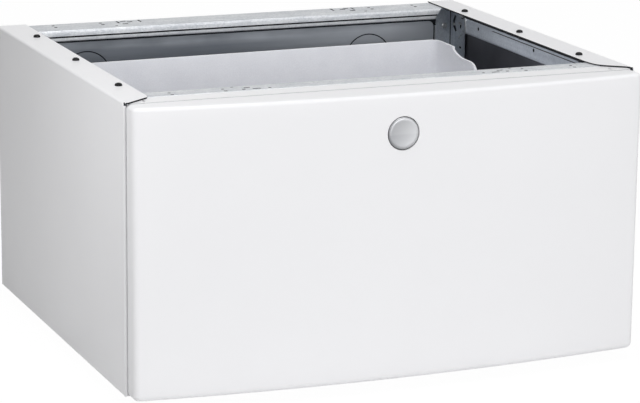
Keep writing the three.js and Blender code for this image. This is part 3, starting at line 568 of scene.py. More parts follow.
class Recipe:
    """A material or world as it is put together."""

    def __init__(self, owner: bpy.types.Material | bpy.types.World) -> None:
        """Empties the node tree of a material or world.

        Args:
            owner: The material or world.
        """
        owner.use_nodes = True
        self.owner = owner
        self.tree = owner.node_tree
        self.tree.nodes.clear()

    def node(
        self,
        kind: str,
        settings: Mapping[str, object] | None = None,
        values: Mapping[str | int, object] | None = None,
        output: str | int = 0,
    ) -> Wire:
        """Adds a node.

        Args:
            kind: The node's type.
            settings: Its properties; "stops" holds a ramp's (place, brightness) pairs.
            values: What goes into its sockets, as a number, colour or link.
            output: The socket that is wanted.

        Returns:
            That socket.
        """
        made = self.tree.nodes.new(kind)
        for name, value in (settings or {}).items():
            if name == "stops":
                self._stops(made.color_ramp, value)
            else:
                setattr(made, name, value)
        for name, value in (values or {}).items():
            if isinstance(value, Wire):
                self.tree.links.new(value.socket, made.inputs[name])
            else:
                made.inputs[name].default_value = value
        return Wire(self, made.outputs[output] if made.outputs else None)

    @staticmethod
    def _stops(ramp: bpy.types.ColorRamp, stops: Sequence[Point2]) -> None:
        """Sets the stops of a grey ramp.

        Args:
            ramp: The ramp.
            stops: (place, brightness) of each stop.
        """
        while len(ramp.elements) < len(stops):
            ramp.elements.new(0.5)
        for element, (place, level) in zip(ramp.elements, stops):
            element.position = place
            element.color = (level, level, level, 1)

    def place(self, stretch: Point3 = (1, 1, 1)) -> Wire:
        """The point on the piece, times a scale for each direction."""
        point = self.node("ShaderNodeTexCoord", output="Object")
        return self.node("ShaderNodeMapping", None, {"Vector": point, "Scale": stretch})

    def along(self, axis: Axis) -> Wire:
        """The point's distance along one axis, in metres."""
        point = self.node("ShaderNodeTexCoord", output="Object")
        return self.node("ShaderNodeSeparateXYZ", None, {0: point}, output=axis.value.upper())

    def noise(self, scale: float, detail: float = 2.0, stretch: Point3 = (1, 1, 1)) -> Wire:
        """Soft noise about 0.5.

        Args:
            scale: Patches in a metre.
            detail: Finer octaves.
            stretch: Scale of each direction.

        Returns:
            The noise.
        """
        return self.node(
            "ShaderNodeTexNoise",
            None,
            {"Vector": self.place(stretch), "Scale": scale, "Detail": detail, "Roughness": 0.55},
        )

    def ramp(self, value: Wire, stops: Sequence[Point2]) -> Wire:
        """A value read off a curve of (place, level) stops."""
        return self.node("ShaderNodeValToRGB", {"stops": stops}, {0: value})

    def mix(self, share: Wire | float, low: Wire | Colour, high: Wire | Colour) -> Wire:
        """A blend of two colours.

        Args:
            share: Share of the second colour.
            low: First colour.
            high: Second colour.

        Returns:
            The colour.
        """
        colours = [c if isinstance(c, Wire) else (*c, 1.0) for c in (low, high)]
        return self.node(
            "ShaderNodeMix",
            {"data_type": "RGBA", "clamp_factor": True},
            {0: share, 6: colours[0], 7: colours[1]},
            output=2,
        )

    def bump(
        self, height: Wire, distance: float, strength: float = 1.0, under: Wire | None = None
    ) -> Wire:
        """A relief.

        Args:
            height: Height of the relief, from 0 to 1.
            distance: Its depth, in metres.
            strength: How much of it shows.
            under: A coarser relief that it lies on.

        Returns:
            The normal.
        """
        values = {"Height": height, "Distance": distance, "Strength": strength}
        if under is not None:
            values["Normal"] = under
        return self.node("ShaderNodeBump", None, values)

    def surface(self, values: Mapping[str | int, object]) -> bpy.types.Material:
        """Ends the material with a Principled shader.

        Args:
            values: What goes into its sockets.

        Returns:
            The material.
        """
        shader = self.node("ShaderNodeBsdfPrincipled", None, values)
        self.node("ShaderNodeOutputMaterial", None, {"Surface": shader})
        return self.owner


def linear(red: float, green: float, blue: float) -> Colour:
    """A colour as light, from its levels of 0 to 255 on a screen."""
    levels = (red / 255, green / 255, blue / 255)
    return tuple(c / 12.92 if c <= 0.04045 else ((c + 0.055) / 1.055) ** 2.4 for c in levels)


# ---------------------------------------------------------------------- finishes


class Finish:
    """A finish, which is mixed the first time that it is used."""

    title: str
    slot: str
    made: ClassVar[dict[str, bpy.types.Material]] = {}

    def mixed(self) -> bpy.types.Material:
        """The finish as a material.

        Returns:
            The material, the same one each time.
        """
        if self.title not in self.made:
            self.made[self.title] = self.mix(Recipe(bpy.data.materials.new(self.title)))
        return self.made[self.title]

    def mix(self, recipe: Recipe) -> bpy.types.Material:
        """Fills in the recipe."""
        raise NotImplementedError


@dataclass(frozen=True)
class Enamel(Finish):
    """Satin white enamel on sheet steel, with a fine orange peel."""

    title: str = "white_enamel"
    slot: str = "white_paint"
    colour: Colour = linear(243, 243, 245)
    shade: Colour = linear(240, 240, 242)
    rough: float = 0.38
    peel: float = 0.00002

    def mix(self, recipe: Recipe) -> bpy.types.Material:
        """Fills in the recipe.

        Args:
            recipe: An empty recipe.

        Returns:
            The material.
        """
        cloud = recipe.noise(5, 3)
        haze = recipe.ramp(recipe.noise(28, 4), [(0.35, 0.0), (0.75, 1.0)])
        peel = recipe.noise(520, 2)
        grain = recipe.noise(2400, 1)
        waves = recipe.bump(recipe.noise(9, 1), 0.0004, 0.25)
        fine = recipe.bump(peel * 0.8 + grain * 0.2, self.peel, 1.0, waves)
        return recipe.surface(
            {
                "Base Color": recipe.mix(cloud, self.colour, self.shade),
                "Roughness": self.rough + 0.07 * haze,
                "Normal": fine,
                "IOR": 1.5,
                "Specular IOR Level": 0.36,
                "Coat Weight": 0.06,
                "Coat Roughness": 0.3,
            }
        )


@dataclass(frozen=True)
class InnerGrey(Finish):
    """A darker grey finish on the inside of the side panels and under their flanges."""

    title: str = "inner_grey"
    slot: str = "white_paint"
    colour: Colour = linear(112, 113, 120)
    shade: Colour = linear(96, 97, 104)

    def mix(self, recipe: Recipe) -> bpy.types.Material:
        """Fills in the recipe.

        Args:
            recipe: An empty recipe.

        Returns:
            The material.
        """
        fleck = recipe.noise(700, 3)
        cloud = recipe.ramp(recipe.noise(14, 3), [(0.3, 0.0), (0.7, 1.0)])
        return recipe.surface(
            {
                "Base Color": recipe.mix(cloud, self.colour, self.shade),
                "Roughness": 0.55 + 0.2 * fleck,
                "Normal": recipe.bump(fleck, 0.00015, 0.5),
                "Specular IOR Level": 0.3,
            }
        )


@dataclass(frozen=True)
class Galvanised(Finish):
    """Skin-passed galvanised sheet: fine rolling streaks along one axis and small flakes."""

    title: str = "galvanised_along_x"
    slot: str = "galvanised"
    light: Colour = linear(209, 211, 213)
    dark: Colour = linear(170, 174, 180)
    metal: float = 0.5
    rough: float = 0.34
    grain: Axis = Axis.X

    def mix(self, recipe: Recipe) -> bpy.types.Material:
        """Fills in the recipe.

        Args:
            recipe: An empty recipe.

        Returns:
            The material.
        """
        stretch = {Axis.X: (6, 170, 170), Axis.Y: (170, 6, 170), Axis.Z: (170, 170, 6)}[self.grain]
        flakes = recipe.node(
            "ShaderNodeTexVoronoi",
            {"feature": "F1"},
            {"Vector": recipe.place(), "Scale": 420.0},
            output="Color",
        )
        flake = recipe.node("ShaderNodeSeparateColor", None, {0: flakes}, output=0)
        streak = recipe.noise(1.6, 4, stretch)
        stain = recipe.noise(38, 5)
        tone = recipe.ramp(0.16 * flake + 0.46 * streak + 0.38 * stain, [(0.32, 0), (0.68, 1)])
        return recipe.surface(
            {
                "Base Color": recipe.mix(tone, self.light, self.dark),
                "Metallic": self.metal,
                "Roughness": self.rough + 0.06 * flake + 0.14 * stain,
                "Normal": recipe.bump(streak * 0.7 + flake * 0.1, 0.00008, 0.35),
            }
        )


@dataclass(frozen=True)
class RearSheet(Finish):
    """Blue-grey steel with a coat, painted lighter above a set height as a painted sheen and paler
    towards the right as painted light.
    """

    title: str = "coated_rear_sheet"
    slot: str = "rear_sheet"
    # light is the painted sheen above a set height, low the darker colour below it, and pale the
    # painted light on the right.
    light: Colour = linear(198, 204, 212)
    dark: Colour = linear(136, 142, 151)
    low: Colour = linear(120, 126, 135)
    pale: Colour = linear(206, 211, 218)
    sheen_height: float = 0.331

    def mix(self, recipe: Recipe) -> bpy.types.Material:
        """Fills in the recipe.

        Args:
            recipe: An empty recipe.

        Returns:
            The material.
        """
        drawn = recipe.noise(1.4, 4, (4, 90, 90))
        cloud = recipe.ramp(recipe.noise(7, 4), [(0.32, 0.0), (0.7, 1.0)])
        tone = recipe.ramp(0.55 * drawn + 0.45 * cloud, [(0.3, 0), (0.72, 1)])
        upper = recipe.mix(tone, self.light, self.dark)
        # Painted sheen: above a set height the colour turns from the darker low colour to the
        # lighter one, standing in for a reflection.
        height = recipe.along(Axis.Z) + 0.004 * recipe.noise(5, 2)
        painted_sheen = recipe.ramp((height - self.sheen_height) * 50.0, [(0.35, 0.0), (0.75, 1.0)])
        colour = recipe.mix(painted_sheen, recipe.mix(tone, self.low, self.dark), upper)
        # Painted light: the colour turns towards the pale one on the right, making up for the shade
        # that falls there.
        right = recipe.ramp(recipe.along(Axis.X) * 2.0 + 0.3, [(0.25, 0.0), (0.78, 0.7)])
        waves = recipe.bump(recipe.noise(6, 1), 0.001, 0.3)
        return recipe.surface(
            {
                "Base Color": recipe.mix(right, colour, self.pale),
                "Metallic": 0.12,
                "Roughness": 0.52 + 0.14 * cloud,
                "Normal": recipe.bump(drawn, 0.00012, 0.35, waves),
            }
        )


@dataclass(frozen=True)
class Zinc(Finish):
    """Bright zinc plate with fine scuffs."""

    title: str = "zinc_plate"
    slot: str = "zinc"
    light: Colour = linear(214, 216, 219)
    dark: Colour = linear(176, 178, 178)

    def mix(self, recipe: Recipe) -> bpy.types.Material:
        """Fills in the recipe.

        Args:
            recipe: An empty recipe.

        Returns:
            The material.
        """
        scuff = recipe.noise(2.0, 5, (60, 4, 60))
        stain = recipe.ramp(recipe.noise(60, 4), [(0.35, 0.0), (0.7, 1.0)])
        return recipe.surface(
            {
                "Base Color": recipe.mix(stain, self.light, self.dark),
                "Metallic": 0.95,
                "Roughness": 0.24 + 0.2 * stain,
                "Normal": recipe.bump(scuff, 0.00008, 0.4),
            }
        )


@dataclass(frozen=True)
class MouldedPlastic(Finish):
    """Moulded plastic with a fine spark-eroded grain."""

    title: str = "grained_bin_plastic"
    slot: str = "bin_plastic"
    light: Colour = linear(247, 248, 252)
    dark: Colour = linear(236, 237, 242)
    rough: float = 0.5
    relief: float = 0.00006
    gloss: float = 0.5

    def mix(self, recipe: Recipe) -> bpy.types.Material:
        """Fills in the recipe.

        Args:
            recipe: An empty recipe.

        Returns:
            The material.
        """
        speck = recipe.noise(900, 2)
        cloud = recipe.noise(24, 4)
        pits = recipe.node(
            "ShaderNodeTexVoronoi", {"feature": "F1"}, {"Vector": recipe.place(), "Scale": 1100.0}
        )
        tone = recipe.ramp(0.6 * speck + 0.4 * cloud, [(0.36, 0), (0.64, 1)])
        return recipe.surface(
            {
                "Base Color": recipe.mix(tone, self.light, self.dark),
                "Roughness": self.rough + 0.12 * cloud,
                "Normal": recipe.bump(0.6 * pits + 0.4 * speck, self.relief, 0.5),
                "IOR": 1.46,
                "Specular IOR Level": self.gloss,
            }
        )


@dataclass(frozen=True)
class Rubber(Finish):
    """Matt black rubber with a dusty bloom."""

    title: str = "black_rubber"
    slot: str = "rubber"
    colour: Colour = linear(38, 38, 40)
    bloom: Colour = linear(70, 70, 72)

    def mix(self, recipe: Recipe) -> bpy.types.Material:
        """Fills in the recipe.

        Args:
            recipe: An empty recipe.

        Returns:
            The material.
        """
        dust = recipe.ramp(recipe.noise(90, 5), [(0.45, 0.0), (0.8, 0.6)])
        return recipe.surface(
            {
                "Base Color": recipe.mix(dust, self.colour, self.bloom),
                "Roughness": 0.72 + 0.15 * dust,
                "Normal": recipe.bump(recipe.noise(1300, 2), 0.0001, 0.4),
            }
        )


@dataclass(frozen=True)
class BrushedSilver(Finish):
    """Satin silver of the button, brushed across, with painted light: darker to the left, lighter
    to the right and above its middle height.
    """

    title: str = "brushed_silver"
    slot: str = "button_metal"
    light: Colour = linear(174, 175, 177)
    dark: Colour = linear(144, 145, 148)
    # Height of the step in the painted light, in metres.
    middle: float = 0.3285

    def mix(self, recipe: Recipe) -> bpy.types.Material:
        """Fills in the recipe.

        Args:
            recipe: An empty recipe.

        Returns:
            The material.
        """
        brushed = recipe.noise(1.5, 4, (25, 25, 2600))
        soft = recipe.noise(60, 2)
        # Painted light: the tone grows lighter to the right and above the middle height, standing
        # in for shading.
        across = recipe.along(Axis.X) * 22.0
        height = recipe.along(Axis.Z) - self.middle
        upper = recipe.ramp(height * 250.0 + 0.5, [(0.2, 0), (0.8, 1)])
        tone = 0.42 + across + 0.22 * upper + 0.16 * (brushed - 0.5)
        return recipe.surface(
            {
                "Base Color": recipe.mix(tone, self.dark, self.light),
                "Metallic": 1.0,
                "Roughness": 0.4 + 0.1 * soft,
                "Normal": recipe.bump(brushed, 0.00003, 0.6),
            }
        )


ENAMEL = Enamel()
INNER_GREY = InnerGrey()
# A near-black finish that is painted shadow: on gaps, slot walls and hem lines where shade falls.
PAINTED_SHADOW_DARK = MouldedPlastic(
    "painted_shadow_dark", "white_paint", linear(40, 40, 43), linear(26, 27, 29), 0.6, 0.00005, 0.15
)
SHADE = MouldedPlastic(
    "gap_shade", "white_paint", linear(206, 207, 209), linear(194, 195, 197), 0.6, 0.00005, 0.2
)
# A dark grey finish that is painted shade: in grooves, bends, slots and under lips.
PAINTED_SHADE_GREY = MouldedPlastic(
    "painted_shade_band", "galvanised", linear(50, 53, 58), linear(34, 37, 41), 0.55, 0.00005, 0.15
)
CAP_PLASTIC = MouldedPlastic(
    "cap_plastic", "dark_plastic", linear(24, 24, 26), linear(12, 12, 14), 0.5, 0.00004, 0.2
)
GALVANISED = Galvanised()
# GALVANISED_DEEP and GALVANISED_TALL are lighter, bluer copies of GALVANISED; their extra lightness
# is painted light that lifts the parts standing in shade.
GALVANISED_DEEP = Galvanised(
    "galvanised_along_y", light=linear(215, 221, 228), dark=linear(186, 193, 202), grain=Axis.Y
)
GALVANISED_TALL = Galvanised(
    "galvanised_along_z", light=linear(220, 226, 233), dark=linear(186, 193, 202), grain=Axis.Z
)
REAR_SHEET = RearSheet()
ZINC = Zinc()
BIN_PLASTIC = MouldedPlastic()
DARK_PLASTIC = MouldedPlastic(
    "grained_dark_plastic", "dark_plastic", linear(72, 73, 76), linear(58, 59, 62), 0.5, 0.0001
)
RUBBER = Rubber()
SILVER = BrushedSilver()


# ---------------------------------------------------------------- placing pieces


def place_piece(
    name: str,
    shape: Shape,
    body: str,
    finishes: Sequence[Finish],
    replaces: Sequence[str] = (),
    smooth: float = 32.0,
) -> bpy.types.Object:
    """Makes a piece of a shape, dresses it and lets it ride.

    Args:
        name: Name of the piece.
        shape: Its shape, which is used up.
        body: The body that it moves with.
        finishes: Its finishes, in the order of the numbers painted on it.
        replaces: The solids that it stands for.
        smooth: Edges sharper than this angle in degrees stay sharp.

    Returns:
        The piece.
    """
    mesh = bpy.data.meshes.new(name)
    shape.moved(lambda p: (p.x * METRES, p.y * METRES + FRONT_DATUM, p.z * METRES))
    shape.mesh.to_mesh(mesh)
    shape.mesh.free()
    mesh.shade_smooth()
    mesh.set_sharp_from_angle(angle=math.radians(smooth))
    for finish in finishes:
        mesh.materials.append(finish.mixed())
    piece = bpy.data.objects.new(name, mesh)
    bpy.context.scene.collection.objects.link(piece)
    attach(piece, body)
    if replaces:
        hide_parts(*replaces)
    log.info("%s: %d faces on %s", name, len(mesh.polygons), body)
    return piece


def dress_node(name: str, finish: Finish, edge: float = 0.0004) -> None:
    """Gives a solid that stays its finish, and softens its edges.

    Args:
        name: Name of the solid.
        finish: Its finish.
        edge: Width of the softened edges, in metres.
    """
    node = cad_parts[name]
    node.data.materials.clear()
    node.data.materials.append(finish.mixed())
    soften = node.modifiers.new("edges", "BEVEL")
    soften.width = edge
    soften.segments = 2
    soften.limit_method = "ANGLE"
    soften.angle_limit = math.radians(50)
    log.info("%s: dressed in %s", name, finish.title)


# ------------------------------------------------------------------ side panels


@dataclass(frozen=True)
class FlangeCut:
    """The slanted cut at a flange's front: how far back it starts, and how round it ends."""

    setback: float
    soft: float


@dataclass
class SidePanels:
    """The two side panels: a flange on top and returns at the front, rear and bottom."""

    half: float = 342.9
    top: float = 381.0
    bottom: float = 15.0
    depth: float = 555.0
    sheet: float = 1.2
    flange: float = 40.5
    bend: float = 3.0
    sweep: float = 27.0
    tip: float = 6.0
    cuts: tuple[FlangeCut, ...] = (FlangeCut(10.0, 1.0), FlangeCut(0.0, 0.4))
    hole_inset: float = 27.4
    hole_radius: float = 4.5
    front_return: float = 14.0
    rear_return: float = 16.0
    bottom_return: float = 22.0
    bottom_bevel: float = 12.0
    # Width and height of the painted shadow strip under the flange.
    shadow_strip_size: Point2 = (0.9, 0.72)

    def main_sheet(self, cut: FlangeCut) -> Shape:
        """The flange, the side and the bottom return of a right panel, in one sheet.

        Args:
            cut: The flange's cut.

        Returns:
            The sheet.
        """
        mid = self.sheet / 2
        radius = self.bend - mid
        section = Section(
            (self.half - self.flange, self.top - mid),
            0,
            (
                Leg(self.flange - self.bend, -90, radius),
                Leg(self.top - self.bottom - 2 * self.bend, -90, radius),
                Leg(self.bottom_return - self.bend),
            ),
        )
        bend_start, _, side_end, low_bend, end, _ = section.ends()
        rear = self.depth - self.bend
        low_start = 2 * self.bend
        outline = [
            (self.flange - self.tip, cut.setback),
            (bend_start, max(0.0, cut.setback - 7)),
            (bend_start, self.bend + 0.1),
            (side_end, self.bend),
            (low_bend, low_start),
            (end, low_start + self.bottom_bevel),
            (end, self.depth - low_start - self.bottom_bevel),
            (low_bend, self.depth - low_start),
            (side_end, rear),
            (bend_start, rear),
            (bend_start, self.depth),
            (0, self.depth),
            *self.cut_curve(cut),
        ]
        offset = self.flange - self.hole_inset
        holes = [circle((offset, y), self.hole_radius) for y in HOLE_ROWS]
        return Shape().sheet(section, outline, Axis.Y, holes, self.sheet)

    def shadow_strip(self, cut: FlangeCut) -> Shape:
        """A dark strip in the gap under the flange, along its inner edge and its cut: a painted
        shadow.

        Args:
            cut: The flange's cut.

        Returns:
            The painted shadow strip of the right panel.
        """
        edge = self.half - self.flange
        width, height = self.shadow_strip_size
        line = [(edge + x, y) for x, y in self.cut_curve(cut)]
        line.insert(0, (edge + 0.1, self.depth - 3))
        line.append((edge + self.flange - self.tip, cut.setback))
        inner = [(x + width, y + width) for x, y in reversed(line)]
        under = self.top - self.sheet
        return Shape().prism([*line, *inner], Axis.Z, (under - height, under + 0.05))

    def cut_curve(self, cut: FlangeCut) -> list[Point2]:
        """The rounded inner end of the flange's cut.

        Args:
            cut: The flange's cut.

        Returns:
            Its points, as (distance from the flange's inner edge, y).
        """
        tip = self.flange - self.tip
        corner = cut.setback + self.sweep
        share = 0.3 * cut.soft
        run = (share * tip, corner - self.sweep * share)
        return bezier([(0, corner + 30 * cut.soft), (0, corner), run], 10)

    def upright_return(self, front: bool) -> Shape:
        """The front or rear return of the right panel, with its bend.

        Args:
            front: Whether it is the front one.

        Returns:
            The return.
        """
        mid = self.sheet / 2
        start_y = self.bend if front else self.depth - self.bend
        width = (self.front_return if front else self.rear_return) - self.bend
        turn = -90 if front else 90
        legs = (Leg(0, turn, self.bend - mid), Leg(width))
        section = Section((self.half - mid, start_y), turn, legs)
        _, bend_end, end, _ = section.ends()
        low = self.bottom + 1
        high = self.top - self.bend - 0.8
        outline = [
            (0, low),
            (end, low + 3),
            (end, high - 5),
            (bend_end + 3.5, high - 5),
            (bend_end, high),
            (0, high),
        ]
        return Shape().sheet(section, outline, Axis.Z, (), self.sheet)

    def darker_inside(self, middle: Vector, normal: Vector) -> bool:
        """Whether a face takes the darker grey finish: the inside of the side, or under the flange.

        Args:
            middle: The face's middle.
            normal: Its normal.

        Returns:
            True where it is.
        """
        if middle.z > self.top - 2:
            return normal.z < -0.5
        inner = self.half - self.sheet * 0.7 - 3
        return normal.x < -0.5 and inner < middle.x < self.half

    def painted_shadow_edge(self, middle: Vector, normal: Vector) -> bool:
        """Whether a face is the flange's cut edge along the opening or the slanted cut, painted
        dark as a painted shadow line.
        """
        upright = abs(normal.z) < 0.3 and normal.x + normal.y < -0.2
        return upright and middle.z > self.top - 1.3 and middle.y < self.depth - 1

    def build(self) -> None:
        """Builds and dresses both panels."""
        finishes = (ENAMEL, INNER_GREY, PAINTED_SHADOW_DARK)
        for (side, sign), cut in zip(SIDES, self.cuts):
            panel = self.main_sheet(cut)
            panel.add(self.upright_return(True)).add(self.upright_return(False))
            # The inside and the flange's underside take the darker grey; the flange's cut edges and
            # the strip under it are painted shadow.
            panel.paint(1, self.darker_inside).paint(2, self.painted_shadow_edge)
            panel.add(self.shadow_strip(cut).coat(2))
            name = f"side_panel_{side}"
            place_piece(f"panel_{side}", panel.sided(sign), "cabinet", finishes, (name,))


@dataclass
class HoleCaps:
    """The black plastic caps that close the fixing holes in the flanges."""

    seat: float = 381.02
    radius: float = 4.7
    stem: float = 4.1
    stem_end: float = 378.4
    dome: tuple[Point2, ...] = (
        (4.65, 1.0),
        (4.4, 1.8),
        (3.9, 2.5),
        (3.1, 3.1),
        (2.0, 3.45),
        (0.9, 3.57),
        (0, 3.6),
    )

    def cap(self, y: float) -> Shape:
        """A low domed cap with its stem, in the right flange.

        Args:
            y: Place of the hole.

        Returns:
            The cap.
        """
        outline = [
            (0, self.stem_end),
            (self.stem - 0.5, self.stem_end),
            (self.stem, self.stem_end + 0.6),
            (self.stem, self.seat),
            (self.radius - 0.1, self.seat),
            (self.radius, self.seat + 0.3),
            *((radius, self.seat + up) for radius, up in self.dome),
        ]
        return Shape().turn(outline, (HOLE_X, y), Axis.Z, 36)

    def build(self) -> None:
        """Builds and dresses the caps."""
        for side, sign in SIDES:
            for number, y in enumerate(HOLE_ROWS, 1):
                shape = self.cap(y).sided(sign)
                place_piece(f"hole_cap_{number}_{side}", shape, "cabinet", (CAP_PLASTIC,))


# -------------------------------------------------------------------- top frame


@dataclass
class TopFrame:
    """The trim and the rails that join the side panels round the top opening."""

    top: float = 379.5
    half: float = 339.9
    sheet: float = 1.2
    trim: Point2 = (2.0, 31.0)
    front_rail: Point2 = (31.3, 60.3)
    rear_rail: Point2 = (500.0, 553.5)
    drop: float = 20.0
    lip: float = 14.0
    lip_half: float = 298.0
    lip_slant: float = 8.0
    web: float = 308.0
    side_height: float = 27.0
    side_foot: float = 22.0
    web_end: float = 436.5
    skirt_inset: float = 13.3
    tick: Point2 = (17.5, 313.2)
    web_slots: tuple[float, ...] = (220.0, 394.0)
    web_slot_height: float = 366.8
    notch_heights: Point2 = (374.2, 376.4)
    # Heights of the painted shade lines on the web, of the slot walls painted dark, and of the dark
    # plates behind the slots.
    painted_shade_lines: tuple[Point2, ...] = ((370.6, 371.9), (375.0, 377.0))
    lower_line_end: float = 330.0
    slot_walls: Point2 = (362.5, 371.5)
    shade_backing: Point2 = (361.0, 372.0)
    hem_run: Point2 = (434.2, 437.3)
    hem_heights: Point2 = (353.0, 375.5)
    shoulder: float = 374.0
    front_marks: tuple[Slot, ...] = (
        (272.0, 35.5, 4.5, 3.4),
        (272.0, 47.0, 4.0, 3.2),
        (203.0, 36.0, 5.0, 3.4),
        (203.0, 47.5, 4.0, 3.2),
        (188.5, 55.0, 4.0, 2.0),
        (178.5, 39.0, 4.5, 3.6),
        (171.4, 47.5, 8.5, 2.8),
        (161.6, 38.5, 11.0, 3.2),
        (144.6, 38.5, 4.0, 3.2),
    )
    rear_marks: tuple[Slot, ...] = (
        (269.0, 527.5, 4.5, 4.4),
        (269.0, 540.0, 4.0, 4.4),
        (201.6, 527.5, 5.0, 4.6),
        (201.0, 540.0, 4.5, 4.4),
        (176.2, 539.5, 2.6, 15.0),
        (144.6, 540.5, 2.6, 16.0),
        (167.0, 544.5, 8.0, 4.0),
        (170.0, 524.5, 8.0, 4.2),
        (159.5, 537.5, 8.0, 4.2),
        (186.0, 514.0, 4.0, 3.2),
    )

    @staticmethod
    def marks(slots: Sequence[Slot], offset: float, shift: float) -> list[list[Point2]]:
        """The lanced slots of a rail, on both sides of the middle.

        Args:
            slots: (distance from the middle, y, size across, size front to back) of each.
            offset: What y lacks of the distance along the rail's section.
            shift: How far the whole pattern stands to the right.

        Returns:
            The slots' outlines.
        """
        made = []
        for x, y, across, deep in slots:
            for sign in (-1, 1):
                middle = sign * x + shift
                us = (y + offset - deep / 2, y + offset + deep / 2)
                made.append(rounded(us, (middle - across / 2, middle + across / 2), 0.9, 2))
        return made

    def lanced(self, point: Vector, normal: Vector) -> bool:
        """Whether a face of a rail is the inside wall of a slot, painted dark as painted shade."""
        flat = self.front_rail[0] + 3 < point.y < self.rear_rail[1] - 4 and abs(point.x) < 290
        return flat and abs(normal.z) < 0.5 and point.z > self.top - 1.25

    def build_trim(self) -> None:
        """The white trim in front, which the drawer's top edge meets."""
        mid = self.sheet / 2
        section = Section(
            (self.trim[1], self.top - mid - 0.5),
            180,
            (Leg(self.trim[1] - self.trim[0] - mid - 0.9, 90, 0.9), Leg(self.drop - mid - 0.9)),
        )
        *_, end, _ = section.ends()
        half = self.half - 2.5
        along, out = self.tick
        ticks = [slit((along, sign * out), 11, 2.0, 90) for sign in (-1, 1)]
        outline = rectangle((0, end), (-half, half))
        shape = Shape().sheet(section, outline, Axis.X, ticks, self.sheet)
        near, high = self.trim[0] + 1.5, self.top - 8
        shape.paint(1, lambda p, n: n.y < -0.3 and p.y < near and p.z > high)
        place_piece("trim_front", shape, "cabinet", (ENAMEL, SHADE), ("front_trim",))

    def build_front_rail(self) -> None:
        """The galvanised channel behind the trim."""
        mid, radius = self.sheet / 2, 1.5
        low, high = self.front_rail
        section = Section(
            (low + mid, self.top - self.drop),
            90,
            (
                Leg(self.drop - mid - radius, -90, radius),
                Leg(high - low - 2 * (mid + radius), -90, radius),
                Leg(self.drop - mid - radius),
            ),
        )
        _, flat, *_, end, _ = section.ends()
        holes = self.marks(self.front_marks, flat - low - mid - radius, 2.6)
        outline = rectangle((0, end), (-self.half, self.half))
        shape = Shape().sheet(section, outline, Axis.X, holes, self.sheet).paint(1, self.lanced)
        place_piece("rail_front", shape, "cabinet", (GALVANISED, PAINTED_SHADOW_DARK), ("front_rail",))

    def build_rear_rail(self) -> None:
        """The wide rear rail, whose lip is hemmed and slants at its ends."""
        mid, radius, curl = self.sheet / 2, 2.4, 0.75
        front, back = self.rear_rail
        low = self.top - self.lip - self.sheet + mid + curl
        leaf = 3.2
        face = front + mid + 2 * curl
        section = Section(
            (front + mid, low + leaf),
            -90,
            (
                Leg(leaf, 180, curl),
                Leg(self.top - mid - radius - low, -90, radius),
                Leg(back - face - 2 * radius - mid, -90, radius),
                Leg(self.drop - mid - radius),
            ),
        )
        _, hem_end, lip_end, flat, flat_end, skirt, end, _ = section.ends()
        narrow = self.lip_half - self.lip_slant
        skirt_half = self.half - self.skirt_inset
        right = [
            (0, narrow + 1),
            (hem_end, narrow),
            (lip_end, self.lip_half),
            (flat, self.lip_half + 3),
            (flat, self.half),
            (flat_end, self.half),
            (skirt, skirt_half),
            (end, skirt_half),
        ]
        outline = [*right, *[(s, -x) for s, x in reversed(right)]]
        holes = self.marks(self.rear_marks, flat - face - radius, 1.3)
        painted_shade_band = (hem_end + leaf + 0.1, hem_end + leaf + 2.3)
        shape = Shape().sheet(section, outline, Axis.X, holes, self.sheet, painted_shade_band)
        shape.paint(1, self.lanced)
        # A painted shade line on the lip's face, just above the hem.
        line = low + leaf
        shape.paint(1, lambda p, n: n.y < -0.9 and line < p.z < line + 2.4 and p.y < front + 3)
        place_piece("rail_rear", shape, "cabinet", (GALVANISED, PAINTED_SHADOW_DARK), ("rear_rail",))

    def side_rail(self) -> Shape:
        """The right side rail under the flange, with its slots, notches and web end.

        Returns:
            The rail.
        """
        mid, radius = self.sheet / 2, 2.4
        low = self.top - self.side_height
        section = Section(
            (self.web + self.side_foot, low + mid),
            180,
            (
                Leg(self.side_foot - mid - radius, -90, radius),
                Leg(self.side_height - 2 * (mid + radius), -90, radius),
                Leg(self.half - self.web - mid - radius),
            ),
        )
        _, web_start, _, shelf, end, _ = section.ends()
        run = (self.front_rail[1] + 0.3, self.rear_rail[0] - 0.3)

        def height(z: float) -> float:
            """Distance along the section of a height on the web."""
            return web_start + z - (low + mid + radius)

        hole = shelf + HOLE_X - self.web - mid - radius
        notch = tuple(height(z) for z in self.notch_heights)
        holes = [circle((hole, y), 4.5) for y in HOLE_ROWS]
        holes += [slit((height(self.web_slot_height), y), 5.4, 5.0, 90) for y in self.web_slots]
        holes += [rectangle(notch, (y - 19, y - 12)) for y in HOLE_ROWS[:2]]
        outline = [
            (0, run[0]),
            (end, run[0]),
            (end, run[1]),
            (shelf + 1, run[1]),
            (shelf + 1, self.web_end + 8),
            (height(self.shoulder), self.web_end),
            (0, self.web_end),
        ]
        (line_low, line_high), (upper_line, _) = self.painted_shade_lines
        scores = (height(line_low), height(line_high), height(upper_line))
        shape = Shape().sheet(section, outline, Axis.Y, holes, self.sheet, scores)
        # Painted shade on the web's lines and on the walls of its slots.
        shape.paint(2, self.painted_shade_line).paint(1, self.slotted)
        # Dark plates behind the web's slots: painted shade seen through them.
        behind = (self.web + self.sheet + 0.1, self.web + self.sheet + 0.4)
        for y in self.web_slots:
            shape.add(Shape().block(behind, (y - 5, y + 5), self.shade_backing, 0).coat(1))
        front = (self.web - 0.9, self.web + 0.2)
        return shape.add(Shape().block(front, self.hem_run, self.hem_heights).coat(3))

